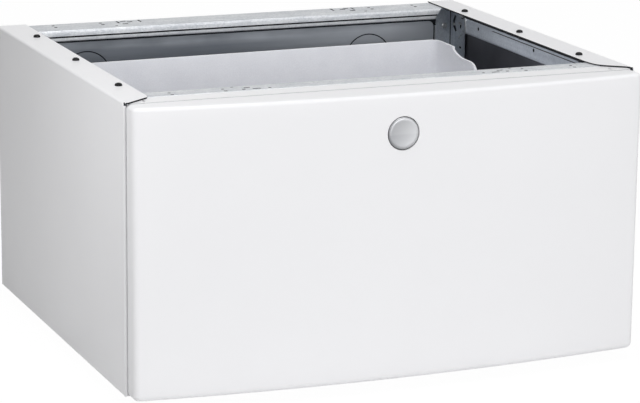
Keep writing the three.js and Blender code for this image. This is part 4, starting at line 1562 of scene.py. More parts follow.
    def painted_shade_line(self, point: Vector, normal: Vector) -> bool:
        """Whether a face of a side rail's web is one of its painted shade lines, at a groove and
        under the flange.

        Args:
            point: The face's middle.
            normal: Its normal.

        Returns:
            True where it is.
        """
        (low, high), (upper_low, upper_high) = self.painted_shade_lines
        lower = low < point.z < high and point.y < self.lower_line_end
        return normal.x < -0.9 and (lower or upper_low < point.z < upper_high)

    def slotted(self, point: Vector, normal: Vector) -> bool:
        """Whether a face of a side rail is the wall of a slot, painted dark as painted shade.

        Args:
            point: The face's middle.
            normal: Its normal.

        Returns:
            True where it is.
        """
        near = any(abs(point.y - y) < 3.5 for y in self.web_slots)
        low, high = self.slot_walls
        return near and abs(normal.x) < 0.6 and low < point.z < high

    def build_side_rails(self) -> None:
        """The side rails, and the captive nuts below the flanges."""
        finishes = (GALVANISED_DEEP, PAINTED_SHADOW_DARK, PAINTED_SHADE_GREY, ZINC)
        for side, sign in SIDES:
            shape = self.side_rail().sided(sign)
            place_piece(f"rail_{side}", shape, "cabinet", finishes, (f"side_rail_{side}",))
            for number in (1, 2, 3):
                dress_node(f"captive_nut_{number}_{side}", ZINC)

    def build(self) -> None:
        """Builds and dresses the frame."""
        self.build_trim()
        self.build_front_rail()
        self.build_rear_rail()
        self.build_side_rails()


# ------------------------------------------------------------------- rear panel


@dataclass
class RearPanel:
    """The rear sheet, with a raised band round a sunk field and two ringed knockouts."""

    back: float = 553.5
    sheet: float = 1.2
    half: float = 339.9
    bottom: float = 16.5
    top: float = 358.7
    band_half: float = 326.0
    field_half: float = 311.0
    band_heights: Point2 = (38.5, 358.2)
    field_heights: Point2 = (56.5, 352.4)
    rise: float = 2.8
    knockouts: tuple[Point2, ...] = ((-217.0, 303.5), (208.0, 303.5))
    ring: float = 35.0
    band_profile: tuple[Point2, ...] = (
        (0.0, 0.0),
        (0.06, 0.55),
        (0.12, 0.9),
        (0.2, 1.0),
        (0.72, 1.0),
        (0.8, 0.9),
        (0.9, 0.5),
        (1.0, 0.0),
    )
    ring_profile: tuple[Point2, ...] = (
        (0.9, -0.1),
        (0.7, 0.3),
        (0.3, 0.5),
        (-0.3, 0.5),
        (-0.7, 0.3),
        (-0.9, -0.1),
    )

    def pressed(self, y: float) -> list[list[Point3]]:
        """Rings over one side of the pressed sheet.

        Args:
            y: Place of that side where the sheet is flat.

        Returns:
            The rings, from the sheet's edge to the sunk field.
        """
        edge = rounded((-self.half, self.half), (self.bottom, self.top), 1.0, 8)
        rings = [[(x, y, z) for x, z in edge]]
        for share, lift in self.band_profile:
            half = self.band_half + (self.field_half - self.band_half) * share
            low = self.band_heights[0] + (self.field_heights[0] - self.band_heights[0]) * share
            high = self.band_heights[1] + (self.field_heights[1] - self.band_heights[1]) * share
            loop = rounded((-half, half), (low, high), 11 - 2.5 * share, 8)
            rings.append([(x, y - lift * self.rise, z) for x, z in loop])
        return rings

    def ring_line(self, centre: Point2, side: float, hand: int) -> Shape:
        """The raised line round a knockout, on one side of the sheet.

        Args:
            centre: Middle of the knockout, as (x, z).
            side: Place of that side.
            hand: Which way it rises along y.

        Returns:
            The line.
        """
        rings = []
        for out, lift in self.ring_profile:
            loop = circle(centre, self.ring + out, 72)
            rings.append([(x, side + hand * lift, z) for x, z in loop])
        return Shape().loft(rings, caps=False).outward()

    def build(self) -> None:
        """Builds and dresses the panel."""
        face = self.back - self.sheet
        shape = Shape().loft([*reversed(self.pressed(self.back)), *self.pressed(face)]).outward()
        inner = self.field_half + (self.band_half - self.field_half) * 0.13
        low, top = self.field_heights
        # Painted shade on the band's inner slopes and along its top, where the rear rail's lip
        # shades it.
        shape.paint(
            1,
            lambda p, n: n.y < -0.01
            and p.y < face - 0.05
            and (abs(p.x) < inner and low - 1.5 < p.z or p.z > top - 0.2),
        )
        # The face side of each knockout's ring line is painted dark as painted shade.
        for centre in self.knockouts:
            shape.add(self.ring_line(centre, face, -1).coat(1))
            shape.add(self.ring_line(centre, self.back, 1))
        place_piece("panel_rear", shape, "cabinet", (REAR_SHEET, PAINTED_SHADE_GREY), ("rear_panel",))


# ----------------------------------------------------------------- corner posts


@dataclass
class CornerPosts:
    """The four upright corner posts, with lanced slots up their side legs."""

    face: float = 335.2
    rear_face: float = 337.6
    sheet: float = 1.2
    rear_back: float = 549.2
    rear_leg: float = 24.2
    side_leg: float = 49.2
    front_side_leg: float = 43.0
    front_leg: float = 16.0
    front_start: float = 1.5
    bottom: float = 34.3
    rear_top: float = 377.6
    front_top: float = 351.0
    screw_at: Point2 = (326.2, 345.0)
    lance: tuple[Point2, ...] = (
        (533.4, 363),
        (528.6, 361),
        (533.0, 353),
        (532.0, 348),
        (526.0, 340.5),
        (531.0, 338.5),
        (538.4, 345.5),
        (539.0, 354),
    )
    lugs: tuple[tuple[Point2, Point2], ...] = (
        ((532.6, 537), (347, 351)),
        ((508, 517.5), (351.8, 355)),
        ((502, 505), (342, 346)),
    )
    # Painted shade marks, as (y range, z range).
    painted_shade_marks: tuple[tuple[Point2, Point2], ...] = (
        ((519, 525), (366, 368.2)),
        ((504, 512), (361, 362.8)),
        ((510, 516), (317, 319.6)),
    )
    rib: tuple[Point2, ...] = ((518.6, 330.0), (519.8, 331.6), (507.0, 340.2), (505.8, 338.6))
    dimple: tuple[Point2, ...] = ((6.2, 0.1), (6.5, -0.35), (7.1, -0.4), (7.5, 0.1))

    def slots(self, middle: float, top: float) -> list[list[Point2]]:
        """The lanced slots up a side leg.

        Args:
            middle: Distance of their row along the post's section.
            top: Height at which the row ends.

        Returns:
            The slots' outlines.
        """
        step = (top - self.bottom) / 5
        holes = []
        for i in range(5):
            z = self.bottom + step * (i + 0.5)
            holes.append(slit((middle - 4, z), 13, 3.2))
            holes.append(slit((middle + 6, z + 2), 7, 2.6))
        return holes

    def rear_post(self) -> Shape:
        """The right rear post, with its lugs, marks, rib and dimple.

        Returns:
            The post.
        """
        mid, radius = self.sheet / 2, 2.4
        front = self.rear_back - self.side_leg
        section = Section(
            (self.rear_face - mid, front),
            90,
            (Leg(self.side_leg - mid - radius, 90, radius), Leg(self.rear_leg - mid - radius)),
        )
        _, _, end, _ = section.ends()
        outline = rectangle((0, end), (self.bottom, self.rear_top))
        holes = self.slots(self.side_leg * 0.42, self.rear_top - 60)
        holes.append([(y - front, z) for y, z in self.lance])
        holes.append(slit((513 - front, 349.3), 4.6, 8.0, 90))
        post = Shape().sheet(section, outline, Axis.Z, holes, self.sheet)
        # Painted shade in the corner bend of the rear leg, and on the walls of the slots.
        post.paint(1, lambda p, n: n.x < -0.3 and n.y < -0.3 and p.y > self.rear_back - 4)
        post.paint(
            1,
            lambda p, n: abs(n.x) < 0.6
            and front + 3 < p.y < self.rear_back - 6
            and 336 < p.z < 366,
        )
        inner = self.rear_face - self.sheet
        for ys, zs in self.lugs:
            post.add(Shape().block((inner - 1.6, inner + 0.2), ys, zs, 0.4).coat(2))
        # Dark marks where lanced slots fall in shade: painted shade.
        for ys, zs in self.painted_shade_marks:
            post.add(Shape().block((inner - 0.3, inner + 0.2), ys, zs, 0).coat(1))
        post.add(Shape().prism(self.rib, Axis.X, (inner - 1.3, inner + 0.2)).coat(2))
        rings = []
        for reach, lift in self.dimple:
            loop = circle(self.screw_at, reach, 36)
            rings.append([(x, self.rear_back - self.sheet + lift, z) for x, z in loop])
        return post.add(Shape().loft(rings, caps=False).outward())

    def front_post(self) -> Shape:
        """The right front post.

        Returns:
            The post.
        """
        mid, radius = self.sheet / 2, 2.4
        corner = mid + radius
        section = Section(
            (self.face - mid, self.front_start + self.front_side_leg),
            -90,
            (Leg(self.front_side_leg - corner, -90, radius), Leg(self.front_leg - corner)),
        )
        _, _, end, _ = section.ends()
        outline = rectangle((0, end), (self.bottom, self.front_top))
        holes = self.slots(self.front_side_leg * 0.42, self.front_top)
        return Shape().sheet(section, outline, Axis.Z, holes, self.sheet)

    def screw(self) -> Shape:
        """The pan-head screw that holds the right rear post to the rear panel.

        Returns:
            The screw's head, with its cross.
        """
        seat = self.rear_back - self.sheet - 0.3
        profile = ((0, 0), (4.4, 0), (4.5, 0.8), (4.0, 1.7), (2.8, 2.2), (0, 2.35))
        head = [(radius, seat - height) for radius, height in profile]
        shape = Shape().turn(head, self.screw_at, Axis.Y, 32)
        for angle in (20, 110):
            loop = slit(self.screw_at, 4.6, 0.9, angle)
            shape.cut(Shape().prism(loop, Axis.Y, (seat - 3, seat - 1.2)))
        return shape

    def build(self) -> None:
        """Builds and dresses the posts and screws."""
        finishes = (GALVANISED_TALL, PAINTED_SHADE_GREY, ZINC)
        for side, sign in SIDES:
            for end, made in (("rear", self.rear_post()), ("front", self.front_post())):
                node = f"{end}_post_{side}"
                place_piece(f"post_{end}_{side}", made.sided(sign), "cabinet", finishes, (node,))
            screw = self.screw().sided(sign)
            place_piece(f"screw_rear_{side}", screw, "cabinet", (ZINC,), (f"rear_screw_{side}",))


# --------------------------------------------------------------- base and feet


@dataclass
class Base:
    """The base rails and the four levelling feet."""

    foot_x: float = 299.9
    rows: tuple[tuple[str, float], ...] = (("front", 70.0), ("rear", 485.0))
    stud: float = 4.0
    stud_top: float = 46.0
    pad_top: float = 12.0
    nut_top: float = 32.5
    nut_height: float = 6.5
    nut_reach: float = 8.0
    nut_bevel: Point2 = (0.7, 0.8)
    nut_bore: float = 4.7
    pad: tuple[Point2, ...] = (
        (0, 0),
        (16.6, 0),
        (17.6, 0.5),
        (18, 1.4),
        (17.5, 2.3),
        (18, 3.2),
        (17.5, 4.1),
        (18, 5),
        (17.2, 6),
        (15.2, 7),
        (9, 7),
        (9, 11.6),
        (8.6, 12),
    )

    def foot(self, y: float) -> Shape:
        """A foot: a ribbed rubber pad with its collar, and a threaded steel stud.

        Args:
            y: Place of the foot.

        Returns:
            The right foot.
        """
        outline = [*self.pad, (self.stud, self.pad_top)]
        z = self.pad_top + 0.5
        while z < self.stud_top - 1.5:
            outline += [(self.stud - 0.35, z), (self.stud, z + 0.5)]
            z += 1.0
        outline += [(self.stud - 0.8, self.stud_top), (0, self.stud_top)]
        return Shape().turn(outline, (self.foot_x, y), Axis.Z, 40)

    def nut(self, y: float) -> Shape:
        """The hexagonal lock nut of a foot.

        Args:
            y: Place of the foot.

        Returns:
            The nut of the right foot.
        """
        low, high = self.nut_top - self.nut_height, self.nut_top
        narrow, bevel = self.nut_reach - self.nut_bevel[0], self.nut_bevel[1]
        outer = ((narrow, low), (self.nut_reach, low + bevel))
        upper = ((self.nut_reach, high - bevel), (narrow, high))
        count = 36
        sixth = math.pi / 3
        rings = []
        for radius, z in (*outer, *upper, (self.nut_bore, high), (self.nut_bore, low)):
            loop = []
            for i in range(count):
                angle = 2 * math.pi * i / count
                flat = math.cos(sixth / 2) / math.cos(angle % sixth - sixth / 2)
                reach = radius if radius == self.nut_bore else min(radius, self.nut_reach * flat)
                x = self.foot_x + reach * math.cos(angle)
                loop.append((x, y + reach * math.sin(angle), z))
            rings.append(loop)
        shape = Shape().loft([*rings, rings[0]], caps=False)
        bmesh.ops.remove_doubles(shape.mesh, verts=shape.mesh.verts[:], dist=1e-4)
        return shape.outward()

    def build(self) -> None:
        """Builds and dresses the base."""
        for name in ("base_front_rail", "base_rear_rail"):
            dress_node(name, GALVANISED)
        for side, sign in SIDES:
            dress_node(f"base_side_rail_{side}", GALVANISED_DEEP)
            for row, y in self.rows:
                foot = self.foot(y).sided(sign).paint(1, lambda p, n: p.z > self.pad_top)
                nut = self.nut(y).sided(sign)
                names = (f"{row}_foot_{side}", f"{row}_foot_nut_{side}")
                place_piece(f"foot_{row}_{side}", foot, "cabinet", (RUBBER, ZINC), names[:1])
                place_piece(f"nut_{row}_{side}", nut, "cabinet", (ZINC,), names[1:])


# ----------------------------------------------------------------------- slides


@dataclass
class Slides:
    """The telescopic slides: three slotted channels a side, one inside the other."""

    back: float = 316.5
    middle: float = 205.0
    run: Point2 = (12.0, 462.0)
    outer: Point2 = (10.5, 45.0)
    inner: Point2 = (6.3, 34.2)
    centre: Point2 = (8.0, 40.8)
    step: float = 3.0
    thickness: float = 12.3
    sheet: float = 1.2
    slots: tuple[float, ...] = (60.0, 160.0, 237.0, 314.0, 414.0)

    def channel(self, x: float, depth: float, height: float) -> Shape:
        """A channel on its side, with rounded corners.

        Args:
            x: Place of its back.
            depth: Reach of its flanges, towards x + depth.
            height: Height over the flanges.

        Returns:
            The channel.
        """
        mid, radius = self.sheet / 2, 1.3
        straight = height - 2 * (mid + radius)
        hand = math.copysign(1, depth)
        reach = abs(depth) - mid - radius
        legs = (
            Leg(reach, 90 * hand, radius),
            Leg(straight, 90 * hand, radius),
            Leg(reach),
        )
        start = (x + depth, self.middle + height / 2 - mid)
        section = Section(start, 180 if hand > 0 else 0, legs)
        _, web, *_, end, _ = section.ends()
        holes = [slit((web + straight / 2, y), 12, 4.6) for y in self.slots]
        return Shape().sheet(section, rectangle((0, end), self.run), Axis.Y, holes, self.sheet)

    def build(self) -> None:
        """Builds and dresses the slides and their supports."""
        for side, sign in SIDES:
            members = (
                ("outer", "cabinet", self.back, (-self.outer[0], self.outer[1])),
                (
                    "middle",
                    f"middle_member_{side}",
                    self.back - self.step,
                    (-self.centre[0], self.centre[1]),
                ),
                ("inner", "drawer", self.back - self.thickness, self.inner),
            )
            for name, body, x, size in members:
                shape = self.channel(x, *size).sided(sign)
                place_piece(f"slide_{name}_{side}", shape, body, (ZINC,), (f"{name}_slide_{side}",))
            dress_node(f"slide_support_{side}", GALVANISED_DEEP)


# ----------------------------------------------------------------- drawer front


@dataclass
class DrawerFront:
    """The bowed drawer front, the panel behind it and its bumpers."""

    half: float = 340.0
    low: float = 15.5
    high: float = 379.0
    face: float = -48.0
    bow: float = 21.0
    back: float = -2.8
    lip: float = -1.5
    edge: float = 8.0
    top_edge: float = 4.8
    sheet: float = 2.0
    button_z: float = 329.5
    bore: float = 21.2
    fit: float = 0.3
    latch_slot: Point2 = (327.5, 352.5)
    panel_screws: tuple[float, ...] = (-290.0, -150.0, 150.0, 290.0)
    bumpers: tuple[tuple[str, float], ...] = (("lower", 40.0), ("upper", 340.0))
    bumper_x: float = 334.9
    bumper_outline: tuple[Point2, ...] = (
        (0, -4.7),
        (3.6, -4.7),
        (4, -4.3),
        (4, -1.8),
        (3.4, -0.8),
        (2.2, -0.3),
        (0, -0.3),
    )

    def bowed(self, x: float) -> float:
        """How far the face stands back from its middle at a distance x."""
        radius = (self.half**2 + self.bow**2) / (2 * self.bow)
        return radius - math.sqrt(radius**2 - x**2)

    def skin(self, inset: float, steps: int = 8) -> tuple[Shape, list[list[Point3]]]:
        """Rings from the middle of the face round the edges to the back.

        Args:
            inset: Distance inside the outer face.
            steps: Steps round the edge.

        Returns:
            The shape of the skin, and its last ring.
        """
        r = self.edge - inset
        top = self.top_edge - inset
        half = self.half - self.edge
        low, high = self.low + self.edge, self.high - self.top_edge
        columns, rows = 56, 26
        xs = [-half + 2 * half * i / columns for i in range(columns + 1)]
        zs = [low + (high - low) * i / rows for i in range(rows + 1)]
        border = [
            *(((x, low), (0.0, -1.0)) for x in xs),
            *self._corner((half, low), 270, steps),
            *(((half, z), (1.0, 0.0)) for z in zs),
            *self._corner((half, high), 0, steps),
            *(((x, high), (0.0, 1.0)) for x in reversed(xs)),
            *self._corner((-half, high), 90, steps),
            *(((-half, z), (-1.0, 0.0)) for z in reversed(zs)),
            *self._corner((-half, low), 180, steps),
        ]
        rings = []
        for k in range(steps + 1):
            angle = math.pi / 2 * k / steps
            out, ease = math.sin(angle), 1 - math.cos(angle)
            ring = []
            for (x, z), (dx, dz) in border:
                upward = max(0.0, dz) ** 2
                px = x + dx * out * r
                depth = ease * (r + (top - r) * upward)
                up = dz * out * (top if dz > 0 else r)
                ring.append((px, self.face + inset + self.bowed(px) + depth, z + up))
            rings.append(ring)
        last = []
        for (x, z), (dx, dz) in border:
            lifted = smoothstep((dz - 0.9) / 0.1)
            up = dz * (top if dz > 0 else r)
            last.append((x + dx * r, self.back + (self.lip - self.back) * lifted, z + up))
        rings.append(last)
        shape = Shape().loft(rings, caps=False)
        grid = [[(x, self.face + inset + self.bowed(x), z) for x in xs] for z in zs]
        shape.loft(grid, closed=False, caps=False)
        bmesh.ops.remove_doubles(shape.mesh, verts=shape.mesh.verts[:], dist=WELD)
        return shape, last

    @staticmethod
    def _corner(at: Point2, start: float, steps: int) -> list[tuple[Point2, Point2]]:
        """The points of a corner: one place, with directions that turn.

        Args:
            at: The place.
            start: The direction that the corner starts from, in degrees.
            steps: Number of steps round it.

        Returns:
            The place with each direction between the ends.
        """
        made = []
        for i in range(1, steps):
            angle = math.radians(start + 90 * i / steps)
            made.append((at, (math.cos(angle), math.sin(angle))))
        return made

    def shell(self) -> Shape:
        """The bowed front with its hole for the button.

        Returns:
            The front.
        """
        outer, outer_ring = self.skin(0)
        inner, inner_ring = self.skin(self.sheet)
        outer.add(inner)
        outer.add(Shape().loft([outer_ring, inner_ring], caps=False))
        bmesh.ops.remove_doubles(outer.mesh, verts=outer.mesh.verts[:], dist=WELD)
        outer.outward()
        hole = circle((0, self.button_z), self.bore, 96)
        return outer.cut(Shape().prism(hole, Axis.Y, (self.face - 5, self.face + 6)))

    def panel(self) -> Shape:
        """The flat panel behind the front, with the slot for the latch and screw holes.

        Returns:
            The panel.
        """
        half = self.half - self.sheet - self.fit
        low, high = self.low + self.sheet + self.fit, self.high - self.sheet - self.fit
        section = Section((self.back - 0.6, low), 90, (Leg(high - low),))
        holes = [rounded((self.latch_slot[0] - low, self.latch_slot[1] - low), (-9, 9), 2)]
        for x in self.panel_screws:
            holes.append(circle((25, x), 3, 20))
            holes.append(circle((high - low - 20, x), 3, 20))
        outline = rounded((0, high - low), (-half, half), 5)
        return Shape().sheet(section, outline, Axis.X, holes)

    def bumper(self, height: float) -> Shape:
        """A rubber bumper on the right."""
        return Shape().turn(self.bumper_outline, (self.bumper_x, height), Axis.Y, 28)

    def build(self) -> None:
        """Builds and dresses the front."""
        place_piece("front_bowed", self.shell(), "drawer", (ENAMEL,), ("drawer_front",))
        place_piece("front_inner", self.panel(), "drawer", (ENAMEL,), ("inner_panel",))
        for side, sign in SIDES:
            for level, height in self.bumpers:
                shape, name = self.bumper(height).sided(sign), f"{level}_bumper_{side}"
                place_piece(f"bumper_{level}_{side}", shape, "drawer", (RUBBER,), (name,))


# -------------------------------------------------------------------------- bin


@dataclass
class Bin:
    """The plastic bin, tall at the rear and stepped down along its sides."""

    half: float = 273.0
    front: float = 6.0
    rear: float = 456.0
    floor: float = 50.0
    top: float = 345.0
    draft: float = 8.0
    corner: float = 14.0
    wall: float = 3.0
    low_rim: float = 261.3
    shoulder: float = 397.0
    shoulder_drop: float = 11.5
    foot_radius: float = 12.0
    ledge_reach: float = 302.4
    ledge_run: Point2 = (15.0, 438.0)
    ledge_heights: Point2 = (258.3, 261.0)
    stations: tuple[float, ...] = (40, 80, 120, 160, 200, 240, 270, 410, 425)
    rib_foot: float = 232.0
    ribs: tuple[int, ...] = tuple(range(40, 420, 42))
    bead: tuple[Point2, ...] = (
        (0.1, -2.0),
        (0.5, -1.6),
        (0.6, -0.8),
        (0.4, -0.2),
        (0.0, 0.0),
        (-2.5, 0.0),
        (-2.9, -0.2),
        (-3, -1),
    )

    def rim_curve(self) -> list[Point2]:
        """The rim as it is seen from the side.

        Returns:
            Its (y, height) from front to rear.
        """
        shelf, low = self.top - self.shoulder_drop, self.low_rim
        rise = [(285, low), (300, low), (310, 268), (308, 334), (322, shelf), (348, shelf)]
        notch_rise = [(362, shelf), (376, shelf + 0.6), (386, shelf + 3), (395.6, shelf + 7.4)]
        step, notch = bezier(rise, 28), bezier(notch_rise, 10)
        return [(-50, low), *step, *notch, (self.shoulder, self.top), (1000, self.top)]

    def rim(self, x: float, y: float) -> float:
        """Height of the rim at a place; its tall part droops a little to the left.

        Args:
            x: Place across.
            y: Place along.

        Returns:
            The height.
        """
        curve = self.rim_curve()
        height = self.top
        for (y0, z0), (y1, z1) in zip(curve, curve[1:]):
            if y0 <= y <= y1 and y1 > y0:
                height = z0 + (z1 - z0) * (y - y0) / (y1 - y0)
        tall = (height - self.low_rim) / (self.top - self.low_rim)
        return height - tall * (1.1 + 0.005 * (self.half - x))

    def plan(self) -> list[tuple[Point2, Point2]]:
        """Points round the bin at its top, from the front of its right side.

        Returns:
            Each point with its outward direction.
        """
        curve = [y for y, _ in self.rim_curve()][1:-1]
        ys = sorted({round(y, 4) for y in [*curve, *self.stations]})
        ys = [y for y in ys if self.front + self.corner < y < self.rear - self.corner]
        xs = [-240 + 40 * i for i in range(13)]
        r = self.corner
        right, back = self.half - r, self.rear - r
        return [
            *(((self.half, y), (1.0, 0.0)) for y in ys),
            *self._turn((right, back), 0),
            *(((x, self.rear), (0.0, 1.0)) for x in reversed(xs)),
            *self._turn((-right, back), 90),
            *(((-self.half, y), (-1.0, 0.0)) for y in reversed(ys)),
            *self._turn((-right, self.front + r), 180),
            *(((x, self.front), (0.0, -1.0)) for x in xs),
            *self._turn((right, self.front + r), 270),
        ]

    def _turn(self, centre: Point2, start: float) -> list[tuple[Point2, Point2]]:
        """The points of a round corner.

        Args:
            centre: Middle of its arc.
            start: The direction that it starts from, in degrees.

        Returns:
            Each point with its outward direction.
        """
        made = []
        for x, y in arc(centre, self.corner, start, start + 90, 10):
            made.append(((x, y), ((x - centre[0]) / self.corner, (y - centre[1]) / self.corner)))
        return made

    def tub(self) -> Shape:
        """The thin-walled tub, with a rounded foot and a bead round its rim.

        Returns:
            The tub.
        """
        plan = self.plan()
        span = self.top - self.floor
        foot = self.foot_radius

        def ring(offset: float, height: Callable[[float, float], float]) -> list[Point3]:
            """Points round the wall.

            Args:
                offset: How far outside the wall's outer face they are.
                height: Their height, given by x and y.

            Returns:
                The points.
            """
            made = []
            r = self.corner
            for (x, y), (dx, dy) in plan:
                z = height(x, y)
                out = offset - self.draft * (self.top - z) / span
                spare = max(0.0, 4.0 - r - out)
                side = self.half - r - spare
                ends = (self.front + r + spare, self.rear - r - spare)
                core_x = min(max(x - dx * r, -side), side)
                core_y = min(max(y - dy * r, ends[0]), ends[1])
                reach = r + out + spare
                made.append((core_x + dx * reach, core_y + dy * reach, z))
            return made

        def level(share: float) -> Callable[[float, float], float]:
            """The height at a share of the way from the foot to the rim."""
            base = self.floor + foot
            return lambda x, y: base + (self.rim(x, y) - 2.5 - base) * share

        rings = []
        for i in range(6):
            angle = math.pi / 2 * i / 6
            inset = foot * (1 - math.sin(angle))
            z = self.floor + foot * (1 - math.cos(angle))
            rings.append(ring(-inset, lambda x, y, z=z: z))
        rings += [ring(0, level(i / 10)) for i in range(11)]
        rings += [ring(out, lambda x, y, up=up: self.rim(x, y) + up) for out, up in self.bead]
        rings += [ring(-self.wall, level(1 - i / 10)) for i in range(11)]
        inner = foot - self.wall
        for i in range(1, 7):
            angle = math.pi / 2 * i / 6
            inset = inner * (1 - math.cos(angle))
            z = self.floor + foot - inner * math.sin(angle)
            rings.append(ring(-self.wall - inset, lambda x, y, z=z: z))
        tub = Shape().loft(rings)
        bmesh.ops.remove_doubles(tub.mesh, verts=tub.mesh.verts[:], dist=WELD)
        return tub.outward()

    def build(self) -> None:
        """Builds and dresses the bin with its ledges."""
        shape = self.tub()
        under = self.ledge_heights[0]
        wall = self.half - self.draft * (self.top - under) / (self.top - self.floor)
        for sign in (-1, 1):
            low, high = sorted((sign * (wall - 0.5), sign * self.ledge_reach))
            shape.block((low, high), self.ledge_run, self.ledge_heights, 0.6)
            rib = [(wall - 2, under + 0.1), (wall + 18, under + 0.1), (wall - 2, self.rib_foot)]
            loop = [(sign * x, z) for x, z in rib]
            for y in self.ribs:
                shape.add(Shape().prism(loop, Axis.Y, (y, y + 2)))
        place_piece("bin_tub", shape, "drawer", (BIN_PLASTIC,), ("bin",), 40)


# ------------------------------------------------------------ drawer rails, latch


@dataclass
class DrawerRails:
    """The rails that carry the bin and join it to the front."""

    face: float = 303.9
    run: Point2 = (-4.7, 455.3)
    bottom: float = 170.0
    top: float = 258.0
    shelf: float = 28.0
    tab: float = 30.0
    sheet: float = 1.2
    slots: tuple[float, ...] = (60.0, 150.0, 240.0, 330.0, 420.0)
    holes: tuple[float, ...] = (105.0, 195.0, 285.0, 375.0)
    tab_screws: Point2 = (190.0, 238.0)

    def build(self) -> None:
        """Builds and dresses both rails."""
        mid, radius = self.sheet / 2, 2.0
        corner = mid + radius
        legs = (Leg(self.top - self.bottom - corner, 90, radius), Leg(self.shelf - corner))
        section = Section((self.face - mid, self.bottom), 90, legs)
        *_, end, _ = section.ends()
        outline = rectangle((0, end), self.run)
        holes = [slit((12, y), 14, 5) for y in self.slots]
        holes += [circle((60, y), 6, 24) for y in self.holes]
        tab = Section((self.face - 1, self.run[0] + mid), 180, (Leg(self.tab - 1),))
        flat = rounded((0, self.tab - 1), (self.bottom, self.top - 1.4), 3)
        tab_holes = [circle((self.tab / 2, z), 3, 20) for z in self.tab_screws]
        for side, sign in SIDES:
            shape = Shape().sheet(section, outline, Axis.Y, holes, self.sheet)
            shape = shape.sheet(tab, flat, Axis.Z, tab_holes, self.sheet).sided(sign)
            name = f"drawer_rail_{side}"
            place_piece(f"rail_drawer_{side}", shape, "drawer", (GALVANISED_DEEP,), (name,))


@dataclass
class Latch:
    """The push-button latch: button, housing, lever, pin and striker."""

    centre: Point2 = (0.0, 329.5)
    front: float = -49.5
    radius: float = 20.5
    rim: float = 2.9
    dish: float = 0.5
    skirt: float = 9.0
    skirt_wall: float = 2.6
    stem: float = 5.0
    stem_end: float = -24.0

    def button(self) -> Shape:
        """The dished button with its rounded rim, skirt and stem.

        Returns:
            The button.
        """
        dish_radius = self.radius - self.rim - 0.5
        outline = []
        for i in range(13):
            share = i / 12
            outline.append((dish_radius * share, self.dish * (1 - share**2.4)))
        outline.append((dish_radius + 0.12, 0.02))
        outline += [
            (self.radius - self.rim + self.rim * math.sin(a), self.rim - self.rim * math.cos(a))
            for a in (math.pi / 2 * i / 10 for i in range(11))
        ]
        skirt_inner = self.radius - self.skirt_wall
        outline += [(self.radius, self.skirt), (skirt_inner, self.skirt)]
        outline += [(skirt_inner, self.dish + 3), (self.stem, self.dish + 3)]
        outline += [(self.stem, self.stem_end - self.front), (0, self.stem_end - self.front)]
        placed = [(r, self.front + along) for r, along in outline]
        return Shape().turn(placed, self.centre, Axis.Y, 128)

    def build(self) -> None:
        """Builds and dresses the latch."""
        place_piece("button_face", self.button(), "button", (SILVER,), ("latch_button",), 28)
        dress_node("latch_housing", DARK_PLASTIC, 0.0006)
        dress_node("latch_lever", ZINC, 0.0004)
        dress_node("lever_pin", ZINC, 0.0003)
        dress_node("striker", ZINC, 0.0003)


# ----------------------------------------------------------------------- studio


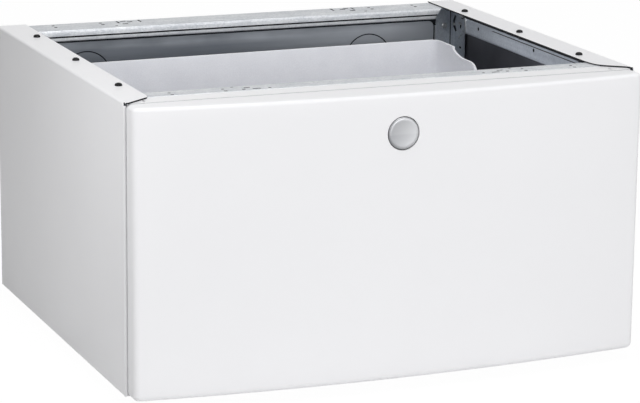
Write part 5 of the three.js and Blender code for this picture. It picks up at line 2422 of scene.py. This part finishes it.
@dataclass
class Studio:
    """The floor, the lights and the camera."""

    place: Point3 = (-1.3316, -3.29815, 1.0368)
    yaw: float = -22.184
    pitch: float = 13.614
    roll: float = 0.594
    lens: float = 154.6
    floor_size: float = 24.0

    def camera(self) -> None:
        """Makes the camera at the photograph's angle."""
        data = bpy.data.cameras.new("view")
        data.sensor_width = 36
        data.lens = self.lens
        data.clip_end = 100
        yaw, pitch, roll = (math.radians(a) for a in (self.yaw, self.pitch, self.roll))
        right = Vector((math.cos(yaw), math.sin(yaw), 0))
        ahead = Vector(
            (-math.sin(yaw) * math.cos(pitch), math.cos(yaw) * math.cos(pitch), -math.sin(pitch))
        )
        up = right.cross(ahead)
        across = math.cos(roll) * right + math.sin(roll) * up
        above = -math.sin(roll) * right + math.cos(roll) * up
        turn = Matrix((across, above, -ahead)).transposed().to_4x4()
        camera = bpy.data.objects.new("view", data)
        camera.matrix_world = Matrix.Translation(self.place) @ turn
        bpy.context.scene.collection.objects.link(camera)
        bpy.context.scene.camera = camera

    @staticmethod
    def lamp(name: str, place: Point3, aim: Point3, size: Point2, watts: float) -> None:
        """Adds a soft white rectangular lamp.

        Args:
            name: Its name.
            place: Where it stands.
            aim: The point that it faces.
            size: Its width and height, in metres.
            watts: Its power.
        """
        data = bpy.data.lights.new(name, "AREA")
        data.shape = "RECTANGLE"
        data.size, data.size_y = size
        data.energy = watts
        lamp = bpy.data.objects.new(name, data)
        turn = (Vector(aim) - Vector(place)).to_track_quat("-Z", "Y").to_matrix().to_4x4()
        lamp.matrix_world = Matrix.Translation(place) @ turn
        bpy.context.scene.collection.objects.link(lamp)

    @staticmethod
    def seen(recipe: Recipe) -> Wire:
        """Whether the camera sees it, straight, in a gloss or through glass.

        Args:
            recipe: The material or world that asks.

        Returns:
            1 where it does, and 0 elsewhere.
        """
        rays = [
            recipe.node("ShaderNodeLightPath", output=name)
            for name in ("Is Camera Ray", "Is Glossy Ray", "Is Transmission Ray")
        ]
        return recipe.node("ShaderNodeClamp", None, {"Value": rays[0] + rays[1] + rays[2]})

    def world(self) -> None:
        """A white backdrop, with a softer light on the object."""
        world = bpy.data.worlds.new("studio")
        bpy.context.scene.world = world
        recipe = Recipe(world)
        strength = 0.15 + 0.85 * self.seen(recipe)
        sky = recipe.node(
            "ShaderNodeBackground", None, {"Color": (1, 1, 1, 1), "Strength": strength}
        )
        recipe.node("ShaderNodeOutputWorld", None, {"Surface": sky})

    def floor(self) -> None:
        """The pale floor, which keeps a soft shadow."""
        mesh = bpy.data.meshes.new("floor")
        grid = bmesh.new()
        bmesh.ops.create_grid(grid, x_segments=2, y_segments=2, size=self.floor_size / 2)
        grid.to_mesh(mesh)
        grid.free()
        recipe = Recipe(bpy.data.materials.new("pale_floor"))
        tone = recipe.noise(1.2, 2)
        matt = recipe.node(
            "ShaderNodeBsdfDiffuse",
            None,
            {"Color": recipe.mix(tone, (0.72, 0.72, 0.72), (0.69, 0.69, 0.69))},
        )
        glow = recipe.node("ShaderNodeEmission", None, {"Color": (1, 1, 1, 1), "Strength": 1.03})
        share = 0.95 * self.seen(recipe)
        blend = recipe.node("ShaderNodeMixShader", None, {0: share, 1: matt, 2: glow})
        recipe.node("ShaderNodeOutputMaterial", None, {"Surface": blend})
        mesh.materials.append(recipe.owner)
        floor = bpy.data.objects.new("floor", mesh)
        bpy.context.scene.collection.objects.link(floor)

    def build(self) -> None:
        """Sets up the studio."""
        self.camera()
        self.world()
        self.floor()
        self.lamp("key", (-0.1, -0.6, 3.8), (0, 0, 0.3), (2.4, 2.0), 75.0)
        self.lamp("front", (0.5, -3.8, 1.05), (0, 0, 0.2), (2.6, 1.4), 73.0)
        self.lamp("side", (-0.8, -0.29, 0.5), (-0.34, -0.15, 0.2), (0.35, 0.35), 1.15)
        bpy.context.scene.view_settings.view_transform = "Standard"


def main() -> None:
    """Builds every sub-assembly in order, and logs each piece's face count."""
    logging.basicConfig(level=logging.INFO, format="%(message)s")
    for part in (
        Studio(),
        SidePanels(),
        HoleCaps(),
        TopFrame(),
        RearPanel(),
        CornerPosts(),
        Base(),
        Slides(),
        DrawerFront(),
        Bin(),
        DrawerRails(),
        Latch(),
    ):
        part.build()
        log.info("%s done", type(part).__name__)


if __name__ == "__main__":
    main()
